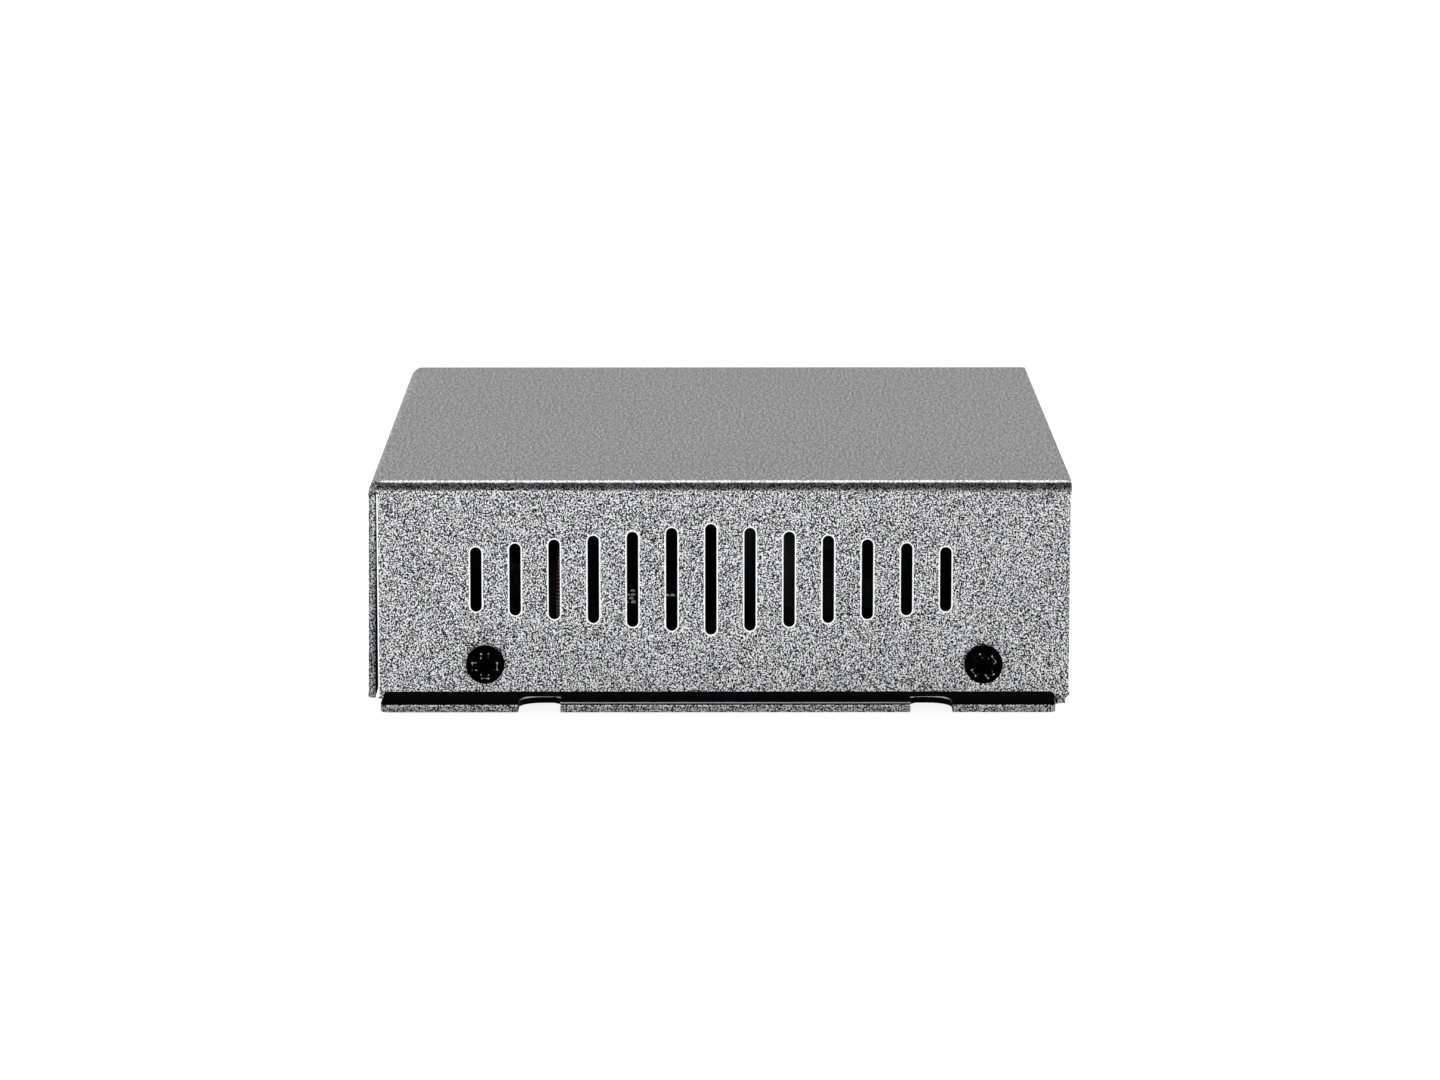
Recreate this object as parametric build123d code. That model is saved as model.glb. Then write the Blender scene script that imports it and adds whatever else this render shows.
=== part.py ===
from build123d import *
import os

# A PoE splitter in a small case of two folded steel sheets, in millimetres.
# X runs across the case, Y from the front flange to the rear panel, Z up from the floor.
# The origin is on the floor, under the middle of the case.

# Case
CASE_WIDTH = 105.0
CASE_DEPTH = 90.0
CASE_HEIGHT = 30.0
SHEET = 1.0

# Cover
COVER_FOLD_RADIUS = 1.6
FRONT_LEAN = 0.3
FRONT_FOOT_HEIGHT = 2.0
FRONT_FOOT_ROUNDING = 0.5
SIDE_TO_FRONT_GAP = 0.4
LEG_FOOT_HEIGHT = 1.9
SIDE_EDGE_HEIGHT = 2.8
FRONT_LEG_LENGTH = 0.6
REAR_LEG_LENGTH = 1.9
LEG_INNER_RADIUS = 0.65
LEG_OUTER_RADIUS = 0.85
RELIEF_LENGTH = 1.8
RELIEF_HEIGHT = 1.7

# Vent slots in both sides of the cover
SLOT_COUNT = 13
SLOT_PITCH = 5.0
SLOT_WIDTH = 1.5
SLOT_END_CHAMFER = 0.42
SHORTEST_SLOT = 8.4
SLOT_LENGTH_STEP = 1.0
SLOTS_FROM_FRONT = 44.0
SLOTS_HEIGHT = 17.4

# Screws that hold the cover to the base
SCREW_FROM_FRONT = 15.1
SCREW_SPACING = 63.8
SCREW_HEIGHT = 6.4
SCREW_HEAD_DIAMETER = 4.9
SCREW_HEAD_THICKNESS = 1.7
SCREW_HEAD_CROWN = 0.75
SCREW_HEAD_SLOPE = 0.55
SCREW_SHANK_DIAMETER = 2.1
SCREW_LENGTH = 4.0
SCREW_HOLE_CLEARANCE = 0.4
THREAD_CLEARANCE = 0.05
CROSS_SPAN = 2.9
CROSS_ARM_WIDTH = 0.7
CROSS_DEPTH = 1.1
CROSS_TURNS = (0.0, 35.0)

# Base
LEDGE_INSET = 0.2
WALL_CLEARANCE = 0.1
WALL_TOP = 9.6
WALL_CORNER_CUT = 1.3
WALL_FROM_PLATE_FRONT = 0.5
WALL_TO_PANEL_GAP = 0.5
PLATE_FRONT_GAP = 0.6
PLATE_CORNER_RADIUS = 0.9
REAR_FOLD_RADIUS = 1.2
PANEL_RECESS = 0.45
PANEL_TOP_GAP = 0.3
PANEL_SIDE_GAP = 0.2
REAR_RELIEF_LENGTH = 5.0
REAR_RELIEF_GAP = 0.3

# Notches in the long edges of the base
NOTCH_WIDTH = 5.4
NOTCH_DEPTH = 6.0
NOTCH_TOP = 1.9
NOTCH_OUTER_RADIUS = 3.0
NOTCH_INNER_CUT = 1.0
NOTCH_FROM_FRONT = 22.0
NOTCH_SPACING = 50.3

# Insulating sheet on the base plate
INSULATOR_THICKNESS = 0.25
INSULATOR_POST_GAP = 0.6
INSULATOR_END_GAP = 1.5

# Board and what carries it
STANDOFF_HEIGHT = 5.0
STANDOFF_WIDTH = 5.0
STANDOFF_BORE = 2.6
STANDOFF_FLOOR = 0.4
HEXAGON_SIDE_COUNT = 6
BOARD_THICKNESS = 1.6
BOARD_SIDE_GAP = 2.9
BOARD_FRONT_GAP = 3.0
BOARD_REAR_GAP = 0.5
BOARD_CORNER_CUT = 1.5
MOUNT_FROM_SIDE = 4.5
MOUNT_FROM_FRONT = 5.0
MOUNT_FROM_REAR = 6.0
BOARD_HOLE_DIAMETER = 3.2
BOARD_SCREW_SHANK = 2.5
BOARD_SCREW_LENGTH = 5.0
BOARD_SCREW_HEAD_WIDTH = 5.0
BOARD_SCREW_HEAD_THICKNESS = 1.8

# Modular sockets
SOCKET_WIDTH = 16.2
SOCKET_HEIGHT = 13.4
SOCKET_DEPTH = 21.3
SOCKET_WALL = 0.4
SOCKET_PROUD = 0.3
SOCKET_FIT = 0.05
PORT_CLEARANCE = 0.25
PLUG_WIDTH = 11.9
PLUG_HEIGHT = 7.4
PLUG_DEPTH = 14.5
PLUG_FLOOR = 3.2
LATCH_WIDTH = 6.2
LATCH_HEIGHT = 1.6
LATCH_DEPTH = 9.0
CONTACT_COUNT = 8
CONTACT_PITCH = 1.02
CONTACT_WIDTH = 0.45
CONTACT_THICKNESS = 0.35
CONTACT_DROP = 3.0
CONTACT_INSET = 1.2
CONTACT_RUN = 9.5
INPUT_SOCKET_X = 25.0
OUTPUT_SOCKET_X = 3.0

# Barrel socket
BARREL_WIDTH = 9.0
BARREL_HEIGHT = 11.0
BARREL_DEPTH = 14.2
BARREL_BORE = 6.4
BARREL_BORE_DEPTH = 9.8
BARREL_AXIS_HEIGHT = 6.5
BARREL_PIN_DIAMETER = 2.0
BARREL_PIN_LENGTH = 8.8
BARREL_SPRING_WIDTH = 1.6
BARREL_SPRING_THICKNESS = 0.3
BARREL_SPRING_LENGTH = 7.5
BARREL_SOCKET_X = -22.0

# Transformer
TRANSFORMER_X = -6.0
TRANSFORMER_GAP = 7.4
CORE_WIDTH = 20.0
CORE_LENGTH = 20.0
CORE_THICKNESS = 6.0
CORE_LEG = 3.2
CORE_CENTRE_LEG = 5.0
CORE_BACK = 3.0
CORE_RAISE = 5.4
CORE_FIT = 0.15
BOBBIN_WALL = 0.8
BOBBIN_FLANGE = 4.2
BOBBIN_RAIL_LENGTH = 4.0
WINDING_BUILD = 2.6
WINDING_CORNER_CUT = 1.0

# Output choke: a wound ring that stands on edge behind the vent slots
CHOKE_FROM_FRONT = 25.9
CHOKE_FROM_BOARD_SIDE = 9.5
CHOKE_OUTER_DIAMETER = 13.0
CHOKE_INNER_DIAMETER = 4.6
CHOKE_THICKNESS = 3.8
CHOKE_WIRE_BUILD = 0.7
CHOKE_TURN_COUNT = 26
CHOKE_SEAT = 0.1

# Other parts on the board
MAGNETICS_SIZE = (13.0, 9.5, 6.0)
MAGNETICS_GAP = 2.5
BRIDGE_SIZE = (6.4, 8.4, 3.2)
BRIDGE_FROM_BOARD_SIDE = 7.0
BRIDGE_SPACING = 12.0
BRIDGE_BEHIND_SOCKET = 2.0
SUPPRESSOR_SIZE = (5.9, 7.0, 2.3)
SUPPRESSOR_LEAD = (3.0, 8.0, 0.5)
SUPPRESSOR_FROM_BOARD_SIDE = 9.5
SUPPRESSOR_GAP = 2.0
INPUT_CAPACITOR_DIAMETER = 10.0
INPUT_CAPACITOR_HEIGHT = 16.0
INPUT_CAPACITOR_X = 22.0
INPUT_CAPACITOR_GAP = 2.0
OUTPUT_CAPACITOR_DIAMETER = 8.0
OUTPUT_CAPACITOR_HEIGHT = 14.0
OUTPUT_CAPACITOR_SPACING = 11.0
OUTPUT_CAPACITOR_GAP = 3.0
TRANSISTOR_SIZE = (6.6, 6.1, 2.3)
TRANSISTOR_TAB = (5.2, 1.8, 0.6)
TRANSISTOR_X = 11.0
TRANSISTOR_FROM_FRONT = 41.0
HEAT_SINK_SIZE = (1.5, 20.0, 16.0)
HEAT_SINK_FOOT = 5.0
HEAT_SINK_X = -25.0
HEAT_SINK_FROM_FRONT = 37.0
DIODE_SIZE = (4.5, 10.0, 9.0)
DIODE_RAISE = 5.0
DIODE_LEAD = 0.9
DIODE_LEAD_PITCH = 5.0
INDUCTOR_SIZE = (10.0, 10.0, 5.4)
INDUCTOR_CORNER = 1.8
INDUCTOR_FROM_BOARD_SIDE = 10.5
INDUCTOR_FROM_FRONT = 20.0
CONTROLLER_SIZES = ((9.9, 3.9, 1.6), (4.9, 3.9, 1.5))
CONTROLLER_PLACES = ((23.0, 29.0), (21.0, 16.0))
CHIP_LEAD_PITCH = 1.27
CHIP_LEAD_WIDTH = 0.42
CHIP_LEAD_REACH = 1.1
CHIP_LEAD_THICKNESS = 0.5
OPTOCOUPLER_SIZE = (4.6, 6.5, 3.6)
OPTOCOUPLER_X = 9.0
OPTOCOUPLER_FROM_FRONT = 15.0
SAFETY_CAPACITOR_SIZE = (10.0, 4.6, 9.0)
SAFETY_CAPACITOR_FEET = 0.4
SAFETY_CAPACITOR_FOOT_LENGTH = 1.2
SAFETY_CAPACITOR_X = 11.0
SAFETY_CAPACITOR_FROM_FRONT = 28.0
RESISTOR_SIZE = (2.0, 1.25, 0.5)
RESISTOR_X = -25.0
RESISTOR_FROM_FRONT = 10.0
CHIP_CAPACITOR_SIZE = (3.2, 2.5, 1.2)
CHIP_CAPACITOR_FROM_BOARD_SIDE = 15.5
CHIP_CAPACITOR_FROM_FRONT = 13.0
CHIP_PITCH = 4.2
CHIP_COLUMNS = 3
CHIP_ROWS = 2

# Status lamps behind the front flange
LAMP_COUNT = 2
LAMP_PITCH = 9.0
LAMP_DIAMETER = 3.0
LAMP_HEIGHT = 4.2
LAMP_HOLE_CLEARANCE = 0.1
LAMP_BEHIND_FACE = 0.2
HOLDER_WIDTH = 4.6
HOLDER_DEPTH = 5.5
HOLDER_HEIGHT = 6.6

# Places that follow from the sizes above
HALF_WIDTH = CASE_WIDTH / 2
FRONT_Y = -CASE_DEPTH / 2
REAR_Y = CASE_DEPTH / 2
ROOF = CASE_HEIGHT - SHEET
COVER_INSIDE_X = HALF_WIDTH - SHEET
SIDE_FRONT_Y = FRONT_Y + SHEET + SIDE_TO_FRONT_GAP
FRONT_FOLD_X = HALF_WIDTH - RELIEF_LENGTH
FRONT_FOLD_END_Y = FRONT_Y + FRONT_LEAN + COVER_FOLD_RADIUS + SHEET
WALL_OUTSIDE_X = COVER_INSIDE_X - WALL_CLEARANCE
WALL_INSIDE_X = WALL_OUTSIDE_X - SHEET
LEDGE_X = HALF_WIDTH - LEDGE_INSET
PLATE_FRONT_Y = FRONT_Y + SHEET + PLATE_FRONT_GAP
PANEL_OUTSIDE_Y = REAR_Y - PANEL_RECESS
PANEL_INSIDE_Y = PANEL_OUTSIDE_Y - SHEET
PANEL_TOP = ROOF - PANEL_TOP_GAP
WALL_FRONT_Y = PLATE_FRONT_Y + WALL_FROM_PLATE_FRONT
WALL_REAR_Y = PANEL_INSIDE_Y - WALL_TO_PANEL_GAP
BOARD_BOTTOM = SHEET + STANDOFF_HEIGHT
BOARD_TOP = BOARD_BOTTOM + BOARD_THICKNESS
BOARD_X = WALL_INSIDE_X - BOARD_SIDE_GAP
BOARD_FRONT_Y = FRONT_Y + SHEET + BOARD_FRONT_GAP
BOARD_REAR_Y = PANEL_INSIDE_Y - BOARD_REAR_GAP
SOCKET_FACE_Y = PANEL_OUTSIDE_Y + SOCKET_PROUD
SOCKET_BACK_Y = SOCKET_FACE_Y - SOCKET_DEPTH
BARREL_BACK_Y = SOCKET_FACE_Y - BARREL_DEPTH
BARREL_AXIS_Z = BOARD_TOP + BARREL_AXIS_HEIGHT
MAGNETICS_Y = SOCKET_BACK_Y - MAGNETICS_GAP - MAGNETICS_SIZE[1] / 2
MAGNETICS_FRONT_Y = MAGNETICS_Y - MAGNETICS_SIZE[1] / 2 - CHIP_LEAD_REACH
TRANSFORMER_Y = MAGNETICS_FRONT_Y - TRANSFORMER_GAP - CORE_LENGTH / 2
INPUT_CAPACITOR_Y = MAGNETICS_FRONT_Y - INPUT_CAPACITOR_GAP - INPUT_CAPACITOR_DIAMETER / 2
REAR_BRIDGE_Y = SOCKET_BACK_Y - BRIDGE_BEHIND_SOCKET
BRIDGE_YS = [REAR_BRIDGE_Y - BRIDGE_SPACING, REAR_BRIDGE_Y]
LAMP_Z = BOARD_TOP + LAMP_HEIGHT
SCREW_YS = [FRONT_Y + SCREW_FROM_FRONT, FRONT_Y + SCREW_FROM_FRONT + SCREW_SPACING]
NOTCH_YS = [FRONT_Y + NOTCH_FROM_FRONT, FRONT_Y + NOTCH_FROM_FRONT + NOTCH_SPACING]
LAMP_XS = [(i - (LAMP_COUNT - 1) / 2) * LAMP_PITCH for i in range(LAMP_COUNT)]
MOUNT_POINTS = [
    (side * (BOARD_X - MOUNT_FROM_SIDE), y)
    for side in (-1, 1)
    for y in (BOARD_FRONT_Y + MOUNT_FROM_FRONT, BOARD_REAR_Y - MOUNT_FROM_REAR)
]
LAMP_SEAT_Y = BOARD_FRONT_Y

# How far a cut runs past what it cuts, and how close two places count as one
BEYOND = 2.0
NEAR = 0.1


# Helpers

def span(a_from, a_to, b_from, b_to):
    """A flat rectangle between two pairs of limits."""
    middle = Pos((a_from + a_to) / 2, (b_from + b_to) / 2)
    return middle * Rectangle(a_to - a_from, b_to - b_from)


def along_x(profile, x_from, x_to):
    """A profile drawn in Y and Z, run along X."""
    return extrude(Plane.YZ.offset(x_from) * profile, x_to - x_from, dir=(1, 0, 0))


def along_y(profile, y_from, y_to):
    """A profile drawn in X and Z, run along Y."""
    return extrude(Plane.XZ.offset(-y_from) * profile, y_to - y_from, dir=(0, 1, 0))


def along_z(profile, z_from, z_to):
    """A profile drawn in X and Y, run along Z."""
    return extrude(Plane.XY.offset(z_from) * profile, z_to - z_from, dir=(0, 0, 1))


def on_both_sides(shape):
    """The shape and its mirror image across the case."""
    return shape + mirror(shape, about=Plane.YZ)


def folded_sheet(outer_points, inner_points, outer_radius):
    """The section of a folded sheet, from its outer and inner lines."""
    outer = FilletPolyline(*outer_points, radius=outer_radius)
    inner = FilletPolyline(*inner_points, radius=outer_radius - SHEET)
    ends = [Line(outer @ 0, inner @ 0), Line(outer @ 1, inner @ 1)]
    return make_face([outer, inner, *ends])


def group(shapes):
    """Several solids that share one node."""
    solids = [solid for shape in shapes for solid in shape.solids()]
    return Compound(children=solids)


def seated(size, x, y, z=BOARD_TOP):
    """A box-shaped body that stands on the board."""
    width, depth, height = size
    return Pos(x, y, z) * Box(width, depth, height, align=(Align.CENTER, Align.CENTER, Align.MIN))


def shank(diameter, length):
    """A screw's shank, below its seat at Z = 0."""
    return along_z(Circle(diameter / 2), -length, 0)


def pan_head():
    """A cover screw's head, with its sloping crown."""
    head = along_z(Circle(SCREW_HEAD_DIAMETER / 2), 0, SCREW_HEAD_THICKNESS)
    rim = head.edges().filter_by(GeomType.CIRCLE).sort_by(Axis.Z)[-1]
    return chamfer(rim, SCREW_HEAD_CROWN, SCREW_HEAD_SLOPE, reference=head.faces().sort_by(Axis.Z)[-1])


def cross_recess(turn):
    """The cross that is cut into a screw head."""
    arm = Rectangle(CROSS_SPAN, CROSS_ARM_WIDTH, rotation=turn)
    cross = arm + Rectangle(CROSS_ARM_WIDTH, CROSS_SPAN, rotation=turn)
    return along_z(cross, SCREW_HEAD_THICKNESS - CROSS_DEPTH, SCREW_HEAD_THICKNESS + BEYOND)


# Case

def cover_channel():
    """The top and both sides, folded from one sheet."""
    outer = [
        (-HALF_WIDTH, LEG_FOOT_HEIGHT),
        (-HALF_WIDTH, CASE_HEIGHT),
        (HALF_WIDTH, CASE_HEIGHT),
        (HALF_WIDTH, LEG_FOOT_HEIGHT),
    ]
    inner = [
        (-COVER_INSIDE_X, LEG_FOOT_HEIGHT),
        (-COVER_INSIDE_X, ROOF),
        (COVER_INSIDE_X, ROOF),
        (COVER_INSIDE_X, LEG_FOOT_HEIGHT),
    ]
    channel = along_y(folded_sheet(outer, inner, COVER_FOLD_RADIUS), SIDE_FRONT_Y, REAR_Y)
    above_front_fold = span(-FRONT_FOLD_X, FRONT_FOLD_X, ROOF - BEYOND, CASE_HEIGHT + BEYOND)
    return channel - along_y(above_front_fold, SIDE_FRONT_Y - BEYOND, FRONT_FOLD_END_Y)


def front_flange():
    """The front, folded down between the corner reliefs, and as wide as the case below them."""
    top_y = FRONT_Y + FRONT_LEAN
    outer = [(FRONT_Y, FRONT_FOOT_HEIGHT), (top_y, CASE_HEIGHT), (FRONT_FOLD_END_Y, CASE_HEIGHT)]
    inner = [(FRONT_Y + SHEET, FRONT_FOOT_HEIGHT), (top_y + SHEET, ROOF), (FRONT_FOLD_END_Y, ROOF)]
    sheet = folded_sheet(outer, inner, COVER_FOLD_RADIUS)
    relief_foot = CASE_HEIGHT - RELIEF_HEIGHT
    below_reliefs = sheet & span(FRONT_Y - BEYOND, FRONT_FOLD_END_Y, 0, relief_foot)
    flange = along_x(sheet, -FRONT_FOLD_X, FRONT_FOLD_X)
    flange += along_x(below_reliefs, -HALF_WIDTH, HALF_WIDTH)
    foot = flange.edges().filter_by(Axis.X).group_by(Axis.Z)[0].sort_by(Axis.Y)[0]
    return fillet(foot, FRONT_FOOT_ROUNDING)


def side_edge_cut():
    """What is cut from the lower edge of the sides, between the legs."""
    front = SIDE_FRONT_Y + FRONT_LEG_LENGTH
    rear = REAR_Y - REAR_LEG_LENGTH
    opening = span(front, rear, LEG_FOOT_HEIGHT - BEYOND, SIDE_EDGE_HEIGHT)
    opening = fillet(opening.vertices().group_by(Axis.Y)[-1], LEG_INNER_RADIUS)
    return along_x(opening, -HALF_WIDTH - BEYOND, HALF_WIDTH + BEYOND)


def vent_slots():
    """A row of upright slots, longest in the middle, through both sides."""
    slots = Sketch()
    for number in range(SLOT_COUNT):
        steps = min(number, SLOT_COUNT - 1 - number)
        length = SHORTEST_SLOT + steps * SLOT_LENGTH_STEP
        y = FRONT_Y + SLOTS_FROM_FRONT + (number - (SLOT_COUNT - 1) / 2) * SLOT_PITCH
        slot = Rectangle(SLOT_WIDTH, length)
        slots += Pos(y, SLOTS_HEIGHT) * chamfer(slot.vertices(), SLOT_END_CHAMFER)
    return along_x(slots, -HALF_WIDTH - BEYOND, HALF_WIDTH + BEYOND)


def screw_holes(diameter):
    """Holes through both sides, at the cover screws."""
    holes = Sketch() + [Pos(y, SCREW_HEIGHT) * Circle(diameter / 2) for y in SCREW_YS]
    return along_x(holes, -HALF_WIDTH - BEYOND, HALF_WIDTH + BEYOND)


def lamp_holes():
    """Holes in the front flange for the status lamps."""
    radius = LAMP_DIAMETER / 2 + LAMP_HOLE_CLEARANCE
    holes = Sketch() + [Pos(x, LAMP_Z) * Circle(radius) for x in LAMP_XS]
    return along_y(holes, FRONT_Y - BEYOND, SIDE_FRONT_Y + FRONT_LEAN)


def top_cover():
    """Top, sides and front flange of the case."""
    cover = cover_channel() + front_flange()
    cover -= side_edge_cut()
    cover -= vent_slots()
    cover -= screw_holes(SCREW_SHANK_DIAMETER + 2 * SCREW_HOLE_CLEARANCE)
    cover -= lamp_holes()
    rear_feet = [
        edge
        for edge in cover.edges().filter_by(Axis.X)
        if (edge.center() - Vector(edge.center().X, REAR_Y, LEG_FOOT_HEIGHT)).length < NEAR
    ]
    return fillet(rear_feet, LEG_OUTER_RADIUS)


def edge_notch(y, towards):
    """A notch in the base's long edge, rounded towards the nearer end and cut at the other."""
    outer = towards * NOTCH_WIDTH / 2
    edge = LEDGE_X + BEYOND
    seat = LEDGE_X - NOTCH_DEPTH
    plan = span(seat, edge, y - NOTCH_WIDTH / 2, y + NOTCH_WIDTH / 2)
    plan = fillet(plan.vertices().sort_by_distance((seat, y + outer))[0], NOTCH_OUTER_RADIUS)
    plan = chamfer(plan.vertices().sort_by_distance((seat, y - outer))[0], NOTCH_INNER_CUT)
    in_plate = along_z(plan, -BEYOND, SHEET)
    in_wall = span(y - NOTCH_WIDTH / 2, y + NOTCH_WIDTH / 2, SHEET, NOTCH_TOP)
    return in_plate + along_x(in_wall, WALL_INSIDE_X - BEYOND, edge)


def plate_and_panel():
    """The bottom plate, folded up at the rear."""
    outer = [(PLATE_FRONT_Y, 0), (PANEL_OUTSIDE_Y, 0), (PANEL_OUTSIDE_Y, PANEL_TOP)]
    inner = [(PLATE_FRONT_Y, SHEET), (PANEL_INSIDE_Y, SHEET), (PANEL_INSIDE_Y, PANEL_TOP)]
    sheet = along_x(folded_sheet(outer, inner, REAR_FOLD_RADIUS), -LEDGE_X, LEDGE_X)
    relief_y = PANEL_INSIDE_Y - REAR_RELIEF_GAP
    end_y = PANEL_OUTSIDE_Y + BEYOND
    relief = span(LEDGE_X - REAR_RELIEF_LENGTH, LEDGE_X + BEYOND, relief_y, end_y)
    panel_side = span(COVER_INSIDE_X - PANEL_SIDE_GAP, LEDGE_X + BEYOND, relief_y, end_y)
    sheet -= on_both_sides(along_z(relief, -BEYOND, SHEET))
    sheet -= on_both_sides(along_z(panel_side, SHEET - BEYOND, PANEL_TOP + BEYOND))
    corners = [
        edge
        for edge in sheet.edges().filter_by(Axis.Z)
        if abs(edge.center().X) > LEDGE_X - NEAR
    ]
    return fillet(corners, PLATE_CORNER_RADIUS)


def inner_walls():
    """The side walls, stepped in from the plate's edge."""
    wall = span(WALL_FRONT_Y, WALL_REAR_Y, SHEET, WALL_TOP)
    wall = chamfer(wall.vertices().group_by(Axis.Y)[-1], WALL_CORNER_CUT)
    return on_both_sides(along_x(wall, WALL_INSIDE_X, WALL_OUTSIDE_X))


def port_hole(x, width, height):
    """One opening in the rear panel, larger than its socket all round."""
    half = width / 2 + PORT_CLEARANCE
    return span(x - half, x + half, BOARD_TOP - PORT_CLEARANCE, BOARD_TOP + height + PORT_CLEARANCE)


def port_holes():
    """Openings in the rear panel for the three sockets."""
    holes = Sketch()
    for x in (INPUT_SOCKET_X, OUTPUT_SOCKET_X):
        holes += port_hole(x, SOCKET_WIDTH, SOCKET_HEIGHT)
    holes += port_hole(BARREL_SOCKET_X, BARREL_WIDTH, BARREL_HEIGHT)
    return along_y(holes, PANEL_INSIDE_Y - BEYOND, PANEL_OUTSIDE_Y + BEYOND)


def base_pan():
    """Bottom plate, inner side walls and rear panel, from one sheet."""
    pan = plate_and_panel() + inner_walls()
    for y, towards in zip(NOTCH_YS, (-1, 1)):
        pan -= on_both_sides(edge_notch(y, towards))
    pan -= screw_holes(SCREW_SHANK_DIAMETER + 2 * THREAD_CLEARANCE)
    return pan - port_holes()


def cover_screws():
    """Four pan-head screws with a cross recess."""
    screws = []
    for y, turn in zip(SCREW_YS, CROSS_TURNS):
        screw = pan_head() + shank(SCREW_SHANK_DIAMETER, SCREW_LENGTH) - cross_recess(turn)
        screw = Pos(HALF_WIDTH, y, SCREW_HEIGHT) * Rot(0, 90, 0) * screw
        screws += [screw, mirror(screw, about=Plane.YZ)]
    return group(screws)


# Board and its supports

def insulating_sheet():
    """A thin sheet between the base and the board's solder side."""
    half = BOARD_X - MOUNT_FROM_SIDE - STANDOFF_WIDTH / 2 - INSULATOR_POST_GAP
    sheet = span(-half, half, WALL_FRONT_Y + INSULATOR_END_GAP, WALL_REAR_Y - INSULATOR_END_GAP)
    return along_z(sheet, SHEET, SHEET + INSULATOR_THICKNESS)


def board_standoffs():
    """Four hexagon posts with a threaded bore, welded on the base plate."""
    hexagon = RegularPolygon(STANDOFF_WIDTH / 2, HEXAGON_SIDE_COUNT, major_radius=False)
    post = along_z(hexagon, SHEET, BOARD_BOTTOM)
    post -= along_z(Circle(STANDOFF_BORE / 2), SHEET + STANDOFF_FLOOR, BOARD_BOTTOM + BEYOND)
    return group([Pos(x, y, 0) * post for x, y in MOUNT_POINTS])


def circuit_board():
    """The printed board, with its four mounting holes."""
    outline = span(-BOARD_X, BOARD_X, BOARD_FRONT_Y, BOARD_REAR_Y)
    outline = chamfer(outline.vertices(), BOARD_CORNER_CUT)
    outline -= Sketch() + [Pos(x, y) * Circle(BOARD_HOLE_DIAMETER / 2) for x, y in MOUNT_POINTS]
    return along_z(outline, BOARD_BOTTOM, BOARD_TOP)


def board_screws():
    """Four hexagon screws that hold the board down on its posts."""
    head = RegularPolygon(BOARD_SCREW_HEAD_WIDTH / 2, HEXAGON_SIDE_COUNT, major_radius=False)
    screw = along_z(head, 0, BOARD_SCREW_HEAD_THICKNESS)
    screw += shank(BOARD_SCREW_SHANK, BOARD_SCREW_LENGTH)
    return group([Pos(x, y, BOARD_TOP) * screw for x, y in MOUNT_POINTS])


# Sockets in the rear panel

def socket_shield(x):
    """The bent metal shell round a modular socket, open at its mouth and underneath."""
    half = SOCKET_WIDTH / 2
    top = BOARD_TOP + SOCKET_HEIGHT
    shell = span(x - half, x + half, BOARD_TOP, top)
    hollow = span(x - half + SOCKET_WALL, x + half - SOCKET_WALL, BOARD_TOP - BEYOND, top - SOCKET_WALL)
    shield = along_y(shell, SOCKET_BACK_Y, SOCKET_FACE_Y)
    return shield - along_y(hollow, SOCKET_BACK_Y + SOCKET_WALL, SOCKET_FACE_Y + BEYOND)


def plug_opening(x):
    """The mouth of a modular socket, with the way for the plug's latch below it."""
    floor = BOARD_TOP + PLUG_FLOOR
    mouth_end = SOCKET_FACE_Y + BEYOND
    plug = span(x - PLUG_WIDTH / 2, x + PLUG_WIDTH / 2, floor, floor + PLUG_HEIGHT)
    latch = span(x - LATCH_WIDTH / 2, x + LATCH_WIDTH / 2, floor - LATCH_HEIGHT, floor)
    opening = along_y(plug, SOCKET_FACE_Y - PLUG_DEPTH, mouth_end)
    return opening + along_y(latch, SOCKET_FACE_Y - LATCH_DEPTH, mouth_end)


def socket_insert(x):
    """The moulded block inside a modular socket's shell."""
    gap = SOCKET_WALL + SOCKET_FIT
    half = SOCKET_WIDTH / 2 - gap
    body = span(x - half, x + half, BOARD_TOP, BOARD_TOP + SOCKET_HEIGHT - gap)
    block = along_y(body, SOCKET_BACK_Y + gap, SOCKET_FACE_Y - SOCKET_FIT)
    return block - plug_opening(x)


def socket_contacts(x):
    """Eight spring wires that slope down into the plug's way."""
    rear = SOCKET_FACE_Y - PLUG_DEPTH
    front = rear + CONTACT_RUN
    roof = BOARD_TOP + PLUG_FLOOR + PLUG_HEIGHT
    foot = roof - CONTACT_DROP
    wire = Polyline(
        (rear, foot),
        (front, roof - CONTACT_INSET),
        (front, roof),
        (front - CONTACT_THICKNESS, roof),
        (front - CONTACT_THICKNESS, roof - CONTACT_INSET + CONTACT_THICKNESS / 2),
        (rear, foot + CONTACT_THICKNESS),
        (rear, foot),
    )
    first = x - CONTACT_PITCH * (CONTACT_COUNT - 1) / 2 - CONTACT_WIDTH / 2
    starts = [first + number * CONTACT_PITCH for number in range(CONTACT_COUNT)]
    return group([along_x(make_face(wire), start, start + CONTACT_WIDTH) for start in starts])


def barrel_housing():
    """The moulded body of the low-voltage socket."""
    x = BARREL_SOCKET_X
    body = span(x - BARREL_WIDTH / 2, x + BARREL_WIDTH / 2, BOARD_TOP, BOARD_TOP + BARREL_HEIGHT)
    bore = Pos(x, BARREL_AXIS_Z) * Circle(BARREL_BORE / 2)
    housing = along_y(body, BARREL_BACK_Y, SOCKET_FACE_Y)
    return housing - along_y(bore, SOCKET_FACE_Y - BARREL_BORE_DEPTH, SOCKET_FACE_Y + BEYOND)


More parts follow.
